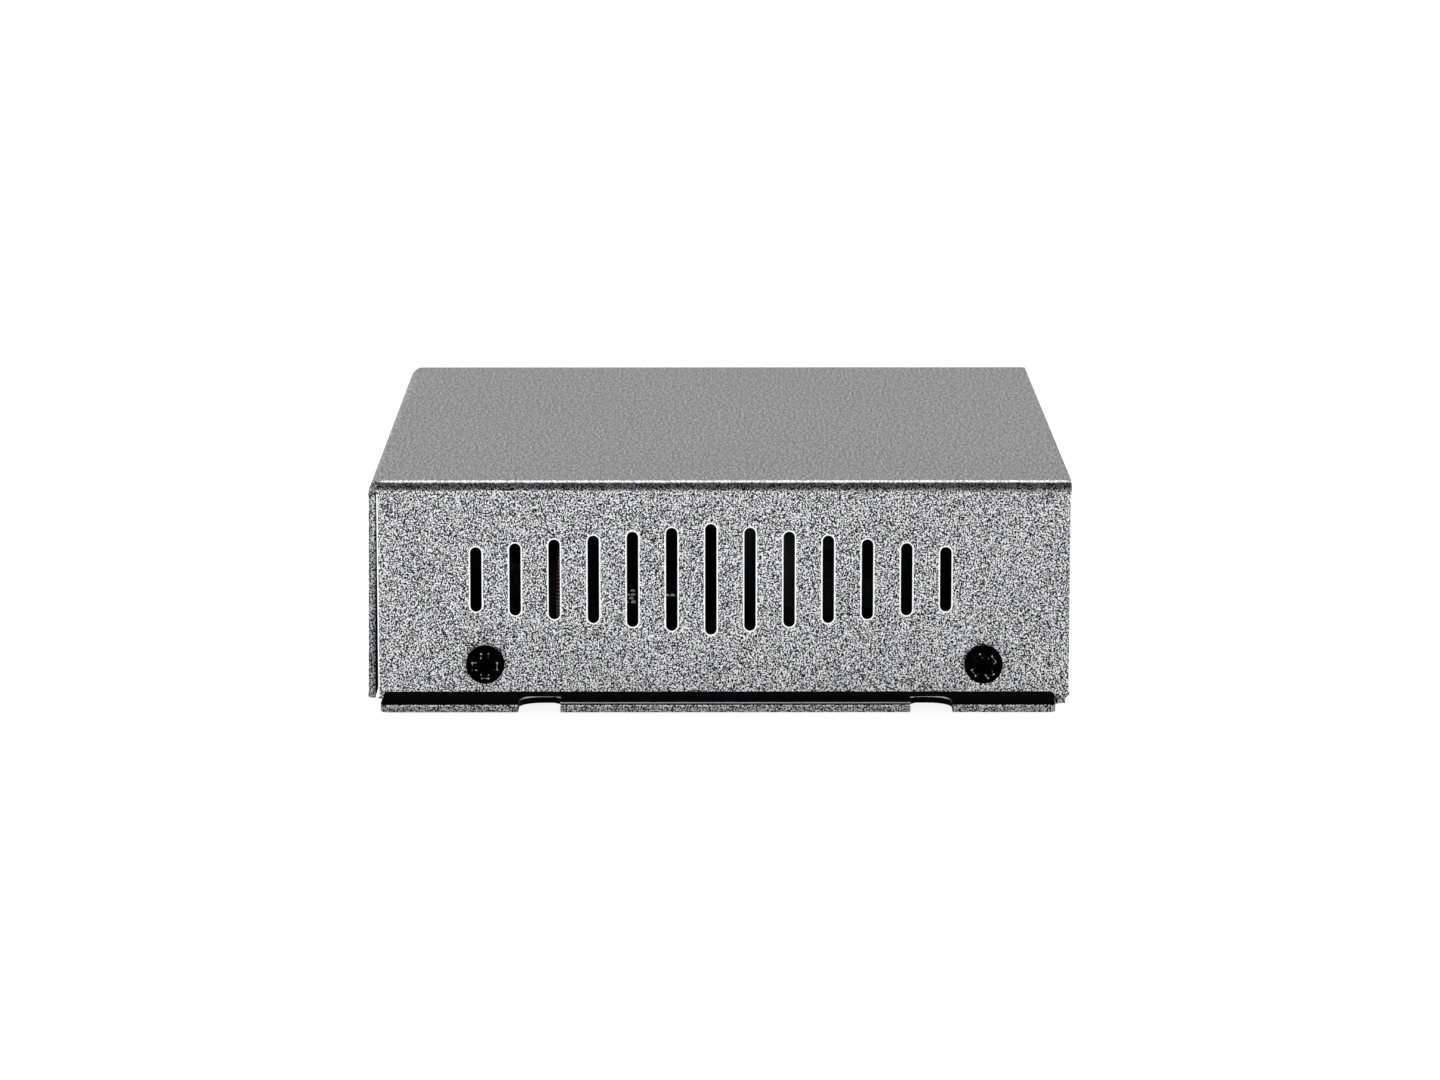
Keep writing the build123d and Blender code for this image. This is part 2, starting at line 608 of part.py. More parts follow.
def barrel_pin():
    """The centre pin of the low-voltage socket."""
    root = SOCKET_FACE_Y - BARREL_BORE_DEPTH
    section = Pos(BARREL_SOCKET_X, BARREL_AXIS_Z) * Circle(BARREL_PIN_DIAMETER / 2)
    return along_y(section, root, root + BARREL_PIN_LENGTH)


def barrel_spring():
    """The side contact, lying on the floor of the low-voltage socket's bore."""
    root = SOCKET_FACE_Y - BARREL_BORE_DEPTH
    half = BARREL_SPRING_WIDTH / 2
    chord = BARREL_AXIS_Z - (BARREL_BORE**2 / 4 - half**2) ** 0.5
    strip = span(BARREL_SOCKET_X - half, BARREL_SOCKET_X + half, chord, chord + BARREL_SPRING_THICKNESS)
    return along_y(strip, root, root + BARREL_SPRING_LENGTH)


# Transformer and choke

def transformer_core_halves():
    """Two E-shaped ferrites that meet leg to leg."""
    half = CORE_WIDTH / 2
    reach = CORE_LENGTH / 2
    back = reach - CORE_BACK
    centre = CORE_CENTRE_LEG / 2
    comb = span(-half, half, 0, reach)
    comb -= span(centre, half - CORE_LEG, -BEYOND, back)
    comb -= span(CORE_LEG - half, -centre, -BEYOND, back)
    base = BOARD_TOP + CORE_RAISE
    front_half = along_z(comb, base, base + CORE_THICKNESS)
    place = Pos(TRANSFORMER_X, TRANSFORMER_Y, 0)
    return group([place * front_half, place * mirror(front_half, about=Plane.XZ)])


def ring_section(half_width, half_height, hole_width, hole_height):
    """A rectangular ring round the core's centre leg."""
    middle = BOARD_TOP + CORE_RAISE + CORE_THICKNESS / 2
    ring = span(-half_width, half_width, middle - half_height, middle + half_height)
    return ring - span(-hole_width, hole_width, middle - hole_height, middle + hole_height)


def transformer_bobbin():
    """The moulded former: a tube round the centre leg, two flanges and two rails on the board."""
    hole = (CORE_CENTRE_LEG / 2 + CORE_FIT, CORE_THICKNESS / 2 + CORE_FIT)
    tube = (hole[0] + BOBBIN_WALL, hole[1] + BOBBIN_WALL)
    reach = CORE_LENGTH / 2 - CORE_BACK - CORE_FIT
    rail_top = BOARD_TOP + CORE_RAISE - CORE_FIT
    flange_x = CORE_WIDTH / 2 - CORE_LEG - CORE_FIT
    bobbin = along_y(ring_section(*tube, *hole), -reach, reach)
    for side in (-1, 1):
        inner_end = side * (reach - BOBBIN_WALL)
        rail_end = side * (reach - BOBBIN_WALL + BOBBIN_RAIL_LENGTH)
        flange = ring_section(flange_x, hole[1] + BOBBIN_FLANGE, *hole)
        rail = span(-CORE_WIDTH / 2, CORE_WIDTH / 2, BOARD_TOP, rail_top)
        bobbin += along_y(flange, *sorted((inner_end, side * reach)))
        bobbin += along_y(rail, *sorted((inner_end, rail_end)))
    return Pos(TRANSFORMER_X, TRANSFORMER_Y, 0) * bobbin


def transformer_windings():
    """The wound and taped coil between the former's flanges."""
    inner = (
        CORE_CENTRE_LEG / 2 + CORE_FIT + BOBBIN_WALL,
        CORE_THICKNESS / 2 + CORE_FIT + BOBBIN_WALL,
    )
    outer = (inner[0] + WINDING_BUILD, inner[1] + WINDING_BUILD)
    reach = CORE_LENGTH / 2 - CORE_BACK - CORE_FIT - BOBBIN_WALL
    coil = along_y(ring_section(*outer, *inner), -reach, reach)
    corners = [
        edge
        for edge in coil.edges().filter_by(Axis.Y)
        if abs(edge.center().X) > outer[0] - WINDING_BUILD / 2
    ]
    coil = chamfer(corners, WINDING_CORNER_CUT)
    return Pos(TRANSFORMER_X, TRANSFORMER_Y, 0) * coil


def choke_ring(outer_diameter, inner_diameter, thickness):
    """A ring on edge over the board, with its axis along Y and a flat for each turn of wire."""
    outline = RegularPolygon(outer_diameter / 2, CHOKE_TURN_COUNT)
    hole = RegularPolygon(inner_diameter / 2, CHOKE_TURN_COUNT)
    axis_z = BOARD_TOP + CHOKE_SEAT + CHOKE_OUTER_DIAMETER / 2
    y = FRONT_Y + CHOKE_FROM_FRONT
    section = Pos(BOARD_X - CHOKE_FROM_BOARD_SIDE, axis_z) * (outline - hole)
    return along_y(section, y - thickness / 2, y + thickness / 2)


def output_choke_core():
    """The powder core inside the choke's winding."""
    build = 2 * CHOKE_WIRE_BUILD
    return choke_ring(CHOKE_OUTER_DIAMETER - build, CHOKE_INNER_DIAMETER + build, CHOKE_THICKNESS - build)


def output_choke_winding():
    """The wire wound round the choke's core, as one layer."""
    return choke_ring(CHOKE_OUTER_DIAMETER, CHOKE_INNER_DIAMETER, CHOKE_THICKNESS) - output_choke_core()


# Small parts on the board

def lead_rows(body_size, x, y):
    """Flat leads along both long sides of a chip."""
    width, depth, _ = body_size
    count = int(width / CHIP_LEAD_PITCH)
    first = x - (count - 1) * CHIP_LEAD_PITCH / 2
    lead = (CHIP_LEAD_WIDTH, depth + 2 * CHIP_LEAD_REACH, CHIP_LEAD_THICKNESS)
    rows = [seated(lead, first + number * CHIP_LEAD_PITCH, y) for number in range(count)]
    return Part() + rows


def chip(body_size, x, y):
    """A flat black chip on its leads."""
    return seated(body_size, x, y) + lead_rows(body_size, x, y)


def magnetics(x):
    """A data transformer, just behind its socket."""
    return chip(MAGNETICS_SIZE, x, MAGNETICS_Y)


def bridge_rectifiers():
    """Two rectifiers beside the input socket."""
    x = BOARD_X - BRIDGE_FROM_BOARD_SIDE
    return group([seated(BRIDGE_SIZE, x, y) for y in BRIDGE_YS])


def surge_suppressor():
    """A flat diode on two folded leads."""
    x = BOARD_X - SUPPRESSOR_FROM_BOARD_SIDE
    y = BRIDGE_YS[0] - BRIDGE_SIZE[1] / 2 - SUPPRESSOR_GAP - SUPPRESSOR_LEAD[1] / 2
    return seated(SUPPRESSOR_SIZE, x, y) + seated(SUPPRESSOR_LEAD, x, y)


def input_capacitor():
    """The can that smooths the supply from the cable."""
    section = Pos(INPUT_CAPACITOR_X, INPUT_CAPACITOR_Y) * Circle(INPUT_CAPACITOR_DIAMETER / 2)
    return along_z(section, BOARD_TOP, BOARD_TOP + INPUT_CAPACITOR_HEIGHT)


def output_capacitors():
    """Two cans in front of the low-voltage socket."""
    radius = OUTPUT_CAPACITOR_DIAMETER / 2
    y = BARREL_BACK_Y - OUTPUT_CAPACITOR_GAP - radius
    xs = (BARREL_SOCKET_X, BARREL_SOCKET_X - OUTPUT_CAPACITOR_SPACING)
    top = BOARD_TOP + OUTPUT_CAPACITOR_HEIGHT
    return group([along_z(Pos(x, y) * Circle(radius), BOARD_TOP, top) for x in xs])


def power_transistor():
    """A flat transistor with its metal tab."""
    y = FRONT_Y + TRANSISTOR_FROM_FRONT
    tab_y = y + TRANSISTOR_SIZE[1] / 2 + TRANSISTOR_TAB[1] / 2
    return seated(TRANSISTOR_SIZE, TRANSISTOR_X, y) + seated(TRANSISTOR_TAB, TRANSISTOR_X, tab_y)


def diode_heat_sink():
    """A bent plate that stands on the board on a turned foot."""
    thickness, length, height = HEAT_SINK_SIZE
    y = FRONT_Y + HEAT_SINK_FROM_FRONT
    outline = Polyline(
        (0, 0),
        (HEAT_SINK_FOOT, 0),
        (HEAT_SINK_FOOT, thickness),
        (thickness, thickness),
        (thickness, height),
        (0, height),
        (0, 0),
    )
    plate = along_y(make_face(outline), y - length / 2, y + length / 2)
    return Pos(HEAT_SINK_X, 0, BOARD_TOP) * plate


def rectifier_diode():
    """A power diode flat against its heat sink, on two leads."""
    thickness, width, height = DIODE_SIZE
    y = FRONT_Y + HEAT_SINK_FROM_FRONT
    x = HEAT_SINK_X - thickness / 2
    diode = seated(DIODE_SIZE, x, y, BOARD_TOP + DIODE_RAISE)
    for side in (-1, 1):
        lead = (DIODE_LEAD, DIODE_LEAD, DIODE_RAISE)
        diode += seated(lead, x, y + side * DIODE_LEAD_PITCH / 2)
    return diode


def filter_inductor():
    """A shielded block inductor with cut corners."""
    block = seated(INDUCTOR_SIZE, INDUCTOR_FROM_BOARD_SIDE - BOARD_X, FRONT_Y + INDUCTOR_FROM_FRONT)
    return chamfer(block.edges().filter_by(Axis.Z), INDUCTOR_CORNER)


def controller_chips():
    """The two chips that run the converter."""
    chips = [
        chip(size, x, FRONT_Y + from_front)
        for size, (x, from_front) in zip(CONTROLLER_SIZES, CONTROLLER_PLACES)
    ]
    return group(chips)


def optocoupler():
    """The chip that carries the signal across the insulation gap."""
    return chip(OPTOCOUPLER_SIZE, OPTOCOUPLER_X, FRONT_Y + OPTOCOUPLER_FROM_FRONT)


def safety_capacitor():
    """A boxed film capacitor that stands on a foot at each end."""
    width, depth, _ = SAFETY_CAPACITOR_SIZE
    y = FRONT_Y + SAFETY_CAPACITOR_FROM_FRONT
    block = seated(SAFETY_CAPACITOR_SIZE, SAFETY_CAPACITOR_X, y, BOARD_TOP + SAFETY_CAPACITOR_FEET)
    foot = (SAFETY_CAPACITOR_FOOT_LENGTH, depth, SAFETY_CAPACITOR_FEET)
    reach = (width - SAFETY_CAPACITOR_FOOT_LENGTH) / 2
    return block + [seated(foot, SAFETY_CAPACITOR_X + side * reach, y) for side in (-1, 1)]


def chip_field(size, x, from_front):
    """A small field of like surface parts."""
    places = [
        (x + column * CHIP_PITCH, FRONT_Y + from_front + row * CHIP_PITCH)
        for column in range(CHIP_COLUMNS)
        for row in range(CHIP_ROWS)
    ]
    return group([seated(size, *place) for place in places])


# Status lamps

def led_holders():
    """Moulded blocks at the board's front edge that carry the lamps on their faces."""
    size = (HOLDER_WIDTH, HOLDER_DEPTH, HOLDER_HEIGHT)
    return group([seated(size, x, LAMP_SEAT_Y + HOLDER_DEPTH / 2) for x in LAMP_XS])


def status_leds():
    """Round lamps that reach into the front flange's holes."""
    nose = FRONT_Y + LAMP_BEHIND_FACE + FRONT_LEAN
    sections = [Pos(x, LAMP_Z) * Circle(LAMP_DIAMETER / 2) for x in LAMP_XS]
    return group([along_y(section, nose, LAMP_SEAT_Y) for section in sections])


NODES = {
    "top_cover": top_cover(),
    "base_pan": base_pan(),
    "cover_screws": cover_screws(),
    "insulating_sheet": insulating_sheet(),
    "board_standoffs": board_standoffs(),
    "circuit_board": circuit_board(),
    "board_screws": board_screws(),
    "poe_input_shield": socket_shield(INPUT_SOCKET_X),
    "poe_input_insert": socket_insert(INPUT_SOCKET_X),
    "poe_input_contacts": socket_contacts(INPUT_SOCKET_X),
    "data_output_shield": socket_shield(OUTPUT_SOCKET_X),
    "data_output_insert": socket_insert(OUTPUT_SOCKET_X),
    "data_output_contacts": socket_contacts(OUTPUT_SOCKET_X),
    "power_output_housing": barrel_housing(),
    "power_output_pin": barrel_pin(),
    "power_output_spring": barrel_spring(),
    "transformer_core_halves": transformer_core_halves(),
    "transformer_bobbin": transformer_bobbin(),
    "transformer_windings": transformer_windings(),
    "output_choke_core": output_choke_core(),
    "output_choke_winding": output_choke_winding(),
    "input_magnetics": magnetics(INPUT_SOCKET_X),
    "output_magnetics": magnetics(OUTPUT_SOCKET_X),
    "bridge_rectifiers": bridge_rectifiers(),
    "surge_suppressor": surge_suppressor(),
    "input_capacitor": input_capacitor(),
    "output_capacitors": output_capacitors(),
    "power_transistor": power_transistor(),
    "diode_heat_sink": diode_heat_sink(),
    "rectifier_diode": rectifier_diode(),
    "filter_inductor": filter_inductor(),
    "controller_chips": controller_chips(),
    "optocoupler": optocoupler(),
    "safety_capacitor": safety_capacitor(),
    "chip_resistors": chip_field(RESISTOR_SIZE, RESISTOR_X, RESISTOR_FROM_FRONT),
    "chip_capacitors": chip_field(
        CHIP_CAPACITOR_SIZE,
        BOARD_X - CHIP_CAPACITOR_FROM_BOARD_SIDE,
        CHIP_CAPACITOR_FROM_FRONT,
    ),
    "led_holders": led_holders(),
    "status_leds": status_leds(),
}

os.makedirs("parts", exist_ok=True)
for name, shape in NODES.items():
    export_step(shape, f"parts/{name}.step")
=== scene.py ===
import math

import bmesh
import bpy
from mathutils import Matrix, Vector


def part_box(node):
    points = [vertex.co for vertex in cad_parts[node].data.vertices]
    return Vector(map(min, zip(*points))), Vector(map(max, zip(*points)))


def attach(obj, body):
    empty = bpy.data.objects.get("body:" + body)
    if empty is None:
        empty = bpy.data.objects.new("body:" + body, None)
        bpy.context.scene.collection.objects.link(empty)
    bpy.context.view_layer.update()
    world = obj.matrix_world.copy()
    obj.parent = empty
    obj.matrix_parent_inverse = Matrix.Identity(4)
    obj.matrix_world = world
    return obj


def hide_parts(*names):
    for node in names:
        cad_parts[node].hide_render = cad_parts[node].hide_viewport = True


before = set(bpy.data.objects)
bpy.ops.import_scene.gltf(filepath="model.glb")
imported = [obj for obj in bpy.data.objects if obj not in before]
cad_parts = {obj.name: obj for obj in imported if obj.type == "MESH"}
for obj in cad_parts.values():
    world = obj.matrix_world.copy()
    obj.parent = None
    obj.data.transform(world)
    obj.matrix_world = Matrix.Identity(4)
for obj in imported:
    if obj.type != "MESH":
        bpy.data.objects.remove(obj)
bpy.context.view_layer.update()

# Looks of a PoE splitter in a small vented case of folded, painted steel. Lengths are in metres.

MM = 0.001
scene = bpy.context.scene

# Camera, at the photograph's angle
CAMERA_EYE = Vector((0.7283, -0.0015, 0.1410))
CAMERA_AIM = Vector((0.0, 0.0003, 0.0133))
CAMERA_SENSOR = 36.0
CAMERA_LENS = 134.5
CAMERA_CLIP = (0.01, 20.0)

# Case, with its boxes read from the CAD parts
COVER_LOW, COVER_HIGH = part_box("top_cover")
BASE_LOW, BASE_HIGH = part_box("base_pan")
SHEET = 1.0 * MM
COVER_OUTSIDE_X = COVER_HIGH.x
COVER_INSIDE_X = COVER_OUTSIDE_X - SHEET
COVER_TOP = COVER_HIGH.z
FRONT_Y = COVER_LOW.y
FLANGE_BACK_Y = FRONT_Y + 2 * SHEET
END_ZONE_Y = FRONT_Y * -0.9
PLATE_TOP = BASE_LOW.z + SHEET
PANEL_INSIDE_Y = BASE_HIGH.y - SHEET
NEAR = 0.02 * MM
LONG_EDGE = 10 * MM
FOLD_RADIUS = 1.6 * MM
# Painted highlight along the long folds: its angles round the fold and its ends
FOLD_HIGHLIGHT_ANGLES = (6.0, 15.0, 24.0, 33.0)
FOLD_HIGHLIGHT_YS = (FLANGE_BACK_Y, BASE_HIGH.y - NEAR)
SLOT_WIDTH = 1.5 * MM
SLOT_PITCH = 5.0 * MM
SLOT_FIRST_Y = -31.0 * MM
SLOT_END_CUT = 0.42 * MM
SLOT_END_STEPS = 12
NOTCH_SEAT_X = BASE_HIGH.x - 6.0 * MM
NOTCH_ZONE_Y = BASE_HIGH.y - 5 * SHEET

# Limits of a normal's part along an axis, for a face that looks that way, leans or lies beside
FACING = 0.99
LEANING = 0.9
BESIDE = 0.1

# Edges
EDGE_ROUNDING = 0.12 * MM
SHIELD_ROUNDING = 0.08 * MM
ROUNDING_STEPS = 2
RIM_WIDTH = 0.17 * MM
SLOT_RIM_WIDTH = 0.16 * MM
RIM_RISE = 0.01 * MM
SLOT_LIP = 0.1 * MM
WELD_GAP = 0.001 * MM
FLAT_ANGLE = math.radians(0.5)
SHARP_ANGLE = math.radians(30)
SMOOTH_ANGLE = math.radians(42)

# Paint
PAINT_GRAIN = 5300.0
GRAIN_DARK_END = 0.44
GRAIN_LIGHT_END = 0.56
GRAIN_BUMP = 0.22
GRAIN_DEPTH = 0.03 * MM
DRIFT_SCALES = (35.0, 1500.0)
DRIFT_LOW = 0.95
# Darker streaks on faces that look up
UPWARD_STREAK_SCALE = 2800.0
UPWARD_STREAK_STRETCH = (0.25, 1.0, 1.0)
UPWARD_STREAK_ENDS = (0.4, 0.6)
UPWARD_STREAK_LOW = 0.4
PAINT_SHINE = 0.15

# Other finishes
WHITE = (1.0, 1.0, 1.0)
SOFT_ENDS = (0.35, 0.65)
WIDE_ENDS = (0.3, 0.7)
MOTTLE_DEPTH = 0.02 * MM
FINE_DEPTH = 0.01 * MM
GLOSS_SPREAD = 0.06
LEAST_ROUGHNESS = 0.02
GLOSS_COARSENESS = 6
BRUSH_GRAIN = 2500.0
BRUSH_STRETCH = (1.0, 0.05, 1.0)
BRUSH_LOW = 0.82
# Patches of the screws' painted glints
GLINT_PATCHES = 1300.0
GLINT_ENDS = (0.44, 0.50)
TRACK_SCALE = 260.0
TRACK_GAP = 0.06
WEAVE_SCALE = 1500.0
WEAVE_LOW = 0.8
HAZE_SCALE = 700.0

# Sockets of the colour mix node
MIX_FACTOR, MIX_FIRST, MIX_SECOND, MIX_RESULT = 0, 6, 7, 2


# Node helpers

def empty_tree(owner):
    """The node tree of a material or a world, with nothing in it."""
    owner.use_nodes = True
    owner.node_tree.nodes.clear()
    return owner.node_tree


def new_material(name):
    """A node material with only its output and its Principled shader."""
    material = bpy.data.materials.new(name)
    tree = empty_tree(material)
    output = tree.nodes.new("ShaderNodeOutputMaterial")
    shader = tree.nodes.new("ShaderNodeBsdfPrincipled")
    tree.links.new(shader.outputs["BSDF"], output.inputs["Surface"])
    return material, shader


def fill(tree, socket, value):
    """Gives an input a link, a colour or a number."""
    if isinstance(value, bpy.types.NodeSocket):
        tree.links.new(value, socket)
    elif isinstance(value, tuple):
        socket.default_value = (*value, 1.0)
    else:
        socket.default_value = value


def object_place(tree):
    """Coordinates in the piece's own space."""
    return tree.nodes.new("ShaderNodeTexCoord").outputs["Object"]


def add_noise(tree, scale, detail=2.0, roughness=0.5, stretch=None):
    """A noise texture in object space, drawn out along an axis where a stretch is given."""
    place = object_place(tree)
    if stretch:
        mapping = tree.nodes.new("ShaderNodeMapping")
        mapping.inputs["Scale"].default_value = stretch
        tree.links.new(place, mapping.inputs["Vector"])
        place = mapping.outputs["Vector"]
    noise = tree.nodes.new("ShaderNodeTexNoise")
    noise.inputs["Scale"].default_value = scale
    noise.inputs["Detail"].default_value = detail
    noise.inputs["Roughness"].default_value = roughness
    tree.links.new(place, noise.inputs["Vector"])
    return noise.outputs["Fac"]


def add_ramp(tree, factor, stops):
    """A colour ramp with (place, colour) stops."""
    ramp = tree.nodes.new("ShaderNodeValToRGB")
    elements = ramp.color_ramp.elements
    while len(elements) < len(stops):
        elements.new(0.5)
    for element, (place, color) in zip(elements, stops):
        element.position = place
        element.color = (*color, 1.0)
    tree.links.new(factor, ramp.inputs["Fac"])
    return ramp.outputs["Color"]


def add_tones(tree, factor, low, high, ends):
    """A blend from one colour to another between two values of its factor."""
    return add_ramp(tree, factor, list(zip(ends, (low, high))))


def add_mix(tree, factor, first, second, blend="MIX"):
    """A colour mix of two sockets or colours."""
    mix = tree.nodes.new("ShaderNodeMix")
    mix.data_type = "RGBA"
    mix.blend_type = blend
    fill(tree, mix.inputs[MIX_FACTOR], factor)
    fill(tree, mix.inputs[MIX_FIRST], first)
    fill(tree, mix.inputs[MIX_SECOND], second)
    return mix.outputs[MIX_RESULT]


def add_math(tree, operation, *values):
    """The result of one operation on sockets and numbers."""
    node = tree.nodes.new("ShaderNodeMath")
    node.operation = operation
    for socket, value in zip(node.inputs, values):
        fill(tree, socket, value)
    return node.outputs[0]


def add_parts(tree, vector):
    """The X, Y and Z of a vector."""
    parts = tree.nodes.new("ShaderNodeSeparateXYZ")
    tree.links.new(vector, parts.inputs[0])
    return parts.outputs


def add_bump(tree, shader, height, strength, distance):
    """A bump on the shader's normal."""
    bump = tree.nodes.new("ShaderNodeBump")
    bump.inputs["Strength"].default_value = strength
    bump.inputs["Distance"].default_value = distance
    tree.links.new(height, bump.inputs["Height"])
    tree.links.new(bump.outputs["Normal"], shader.inputs["Normal"])


def grey(level):
    """A colour without a hue."""
    return (level, level, level)


def scaled(color, share):
    """A lighter or darker tone of a colour."""
    return tuple(min(1.0, channel * share) for channel in color)


# Materials

def speckled_paint(name, light, middle, dark, roughness=0.36, metallic=0.7):
    """Metallic powder paint: fine grain, a faint drift of tone, and darker streaks on faces as
    they turn upward.
    """
    material, shader = new_material(name)
    tree = material.node_tree
    grain = add_noise(tree, PAINT_GRAIN, detail=1.0, roughness=0.6)
    stops = [(GRAIN_DARK_END, dark), (0.5, middle), (GRAIN_LIGHT_END, light)]
    color = add_ramp(tree, grain, stops)
    for scale in DRIFT_SCALES:
        drift = add_tones(tree, add_noise(tree, scale), grey(DRIFT_LOW), WHITE, SOFT_ENDS)
        color = add_mix(tree, 1.0, color, drift, "MULTIPLY")
    normal = tree.nodes.new("ShaderNodeNewGeometry").outputs["Normal"]
    # Faces darken with streaks the more they look up
    lines = add_noise(tree, UPWARD_STREAK_SCALE, stretch=UPWARD_STREAK_STRETCH)
    upward_streaks = add_tones(tree, lines, grey(UPWARD_STREAK_LOW), WHITE, UPWARD_STREAK_ENDS)
    color = add_mix(tree, add_parts(tree, normal)["Z"], color, upward_streaks, "MULTIPLY")
    tree.links.new(color, shader.inputs["Base Color"])
    add_bump(tree, shader, grain, GRAIN_BUMP, GRAIN_DEPTH)
    shader.inputs["Roughness"].default_value = roughness
    shader.inputs["Metallic"].default_value = metallic
    shader.inputs["Specular IOR Level"].default_value = PAINT_SHINE
    return material


def toned(name, color, roughness, metallic=0.0, scale=900.0, contrast=0.2, bump=0.15, shine=0.5):
    """A plain finish with a fine mottle in its tone, its gloss and its surface."""
    material, shader = new_material(name)
    tree = material.node_tree
    mottle = add_noise(tree, scale, detail=3.0)
    low, high = scaled(color, 1 - contrast), scaled(color, 1 + contrast)
    tree.links.new(add_tones(tree, mottle, low, high, SOFT_ENDS), shader.inputs["Base Color"])
    span = tree.nodes.new("ShaderNodeMapRange")
    span.inputs["To Min"].default_value = max(LEAST_ROUGHNESS, roughness - GLOSS_SPREAD)
    span.inputs["To Max"].default_value = roughness + GLOSS_SPREAD
    tree.links.new(add_noise(tree, scale / GLOSS_COARSENESS), span.inputs["Value"])
    tree.links.new(span.outputs["Result"], shader.inputs["Roughness"])
    add_bump(tree, shader, mottle, bump, MOTTLE_DEPTH)
    shader.inputs["Metallic"].default_value = metallic
    shader.inputs["Specular IOR Level"].default_value = shine
    return material


def brushed(name, color, roughness):
    """Rolled or plated metal with fine lines along its length."""
    material, shader = new_material(name)
    tree = material.node_tree
    lines = add_noise(tree, BRUSH_GRAIN, detail=4.0, roughness=0.6, stretch=BRUSH_STRETCH)
    tone = add_tones(tree, lines, scaled(color, BRUSH_LOW), color, WIDE_ENDS)
    tree.links.new(tone, shader.inputs["Base Color"])
    add_bump(tree, shader, lines, strength=0.12, distance=FINE_DEPTH)
    shader.inputs["Metallic"].default_value = 1.0
    shader.inputs["Roughness"].default_value = roughness
    return material


def screw_glint_rim():
    """Painted glints: near-white patches on black, broken up by noise."""
    material, shader = new_material("screw_glint_rim")
    tree = material.node_tree
    patches = add_noise(tree, GLINT_PATCHES, detail=1.0)
    color = add_tones(tree, patches, grey(0.003), grey(0.95), GLINT_ENDS)
    tree.links.new(color, shader.inputs["Base Color"])
    add_bump(tree, shader, patches, strength=0.1, distance=FINE_DEPTH)
    shader.inputs["Specular IOR Level"].default_value = 0.1
    shader.inputs["Roughness"].default_value = 0.4
    return material


def board_lacquer():
    """Green lacquer over copper tracks, which show as slightly lighter bands, all darkened as
    painted shade of the case's inside.
    """
    material, shader = new_material("board_lacquer")
    tree = material.node_tree
    tracks = tree.nodes.new("ShaderNodeTexBrick")
    tracks.inputs["Scale"].default_value = TRACK_SCALE
    tracks.inputs["Mortar Size"].default_value = TRACK_GAP
    tracks.inputs["Color1"].default_value = (0.002, 0.014, 0.005, 1.0)
    tracks.inputs["Color2"].default_value = (0.003, 0.020, 0.008, 1.0)
    tracks.inputs["Mortar"].default_value = (0.008, 0.040, 0.016, 1.0)
    tree.links.new(object_place(tree), tracks.inputs["Vector"])
    weave = add_tones(tree, add_noise(tree, WEAVE_SCALE), grey(WEAVE_LOW), WHITE, WIDE_ENDS)
    color = add_mix(tree, 1.0, tracks.outputs["Color"], weave, "MULTIPLY")
    tree.links.new(color, shader.inputs["Base Color"])
    add_bump(tree, shader, tracks.outputs["Fac"], strength=0.3, distance=GRAIN_DEPTH)
    shader.inputs["Roughness"].default_value = 0.45
    shader.inputs["Specular IOR Level"].default_value = 0.02
    return material


def clear_lens():
    """Slightly milky clear epoxy."""
    material, shader = new_material("clear_lens")
    tree = material.node_tree
    haze = add_noise(tree, HAZE_SCALE)
    color = add_tones(tree, haze, (0.80, 0.83, 0.80), (0.95, 0.97, 0.95), WIDE_ENDS)
    tree.links.new(color, shader.inputs["Base Color"])
    add_bump(tree, shader, haze, strength=0.05, distance=FINE_DEPTH)
    shader.inputs["Roughness"].default_value = 0.08
    shader.inputs["Transmission Weight"].default_value = 0.6
    return material


PAINT = speckled_paint(
    "case_paint", light=(0.90, 0.90, 0.91), middle=(0.22, 0.22, 0.224), dark=(0.012, 0.012, 0.013)
)
# Near-white metallic paint for lit edges: painted highlight
RIM_HIGHLIGHT = speckled_paint(
    "rim_painted_highlight", light=WHITE, middle=WHITE, dark=grey(0.8), roughness=0.3, metallic=1.0
)
BASE_PAINT = speckled_paint(
    "base_paint", light=(0.58, 0.58, 0.59), middle=(0.06, 0.06, 0.062), dark=(0.01, 0.01, 0.011)
)
# Near-black for faces inside the case, in the shadow gap and in the notches: painted shade
INNER_SHADE = toned("inner_shade_finish", (0.003, 0.003, 0.0035), 0.8, bump=0.3, shine=0.05)
BLACK_SCREW = toned("black_screw", grey(0.002), 0.3, contrast=0.4, shine=0.0)
SCREW_GLINT = screw_glint_rim()
NICKEL = brushed("nickel_plate", (0.36, 0.355, 0.34), 0.3)
# Near-black nickel for the shields' faces inside the case: painted shade
NICKEL_SHADE = brushed("nickel_painted_shade", (0.012, 0.012, 0.0115), 0.45)
TIN = toned("solder_tin", (0.95, 0.95, 0.96), 0.35, metallic=0.3, contrast=0.1)
GOLD = brushed("gold_contact", (0.80, 0.58, 0.24), 0.22)
MOULDING = toned("black_moulding", (0.010, 0.010, 0.011), 0.5, contrast=0.3, bump=0.35, shine=0.3)
SHADED_LACQUER = board_lacquer()
FILM = toned("insulator_film", (0.03, 0.03, 0.032), 0.55)
FERRITE = toned("ferrite", (0.02, 0.0195, 0.019), 0.6, contrast=0.35, bump=0.5, shine=0.3)
# Tape darkened as painted shade of the case's inside
SHADED_TAPE = toned("winding_tape", (0.05, 0.03, 0.004), 0.3, scale=300.0, shine=0.2)
COPPER = toned(
    "copper_wire", (0.95, 0.36, 0.26), 0.16, metallic=0.9, scale=1800.0, contrast=0.1, bump=0.05
)
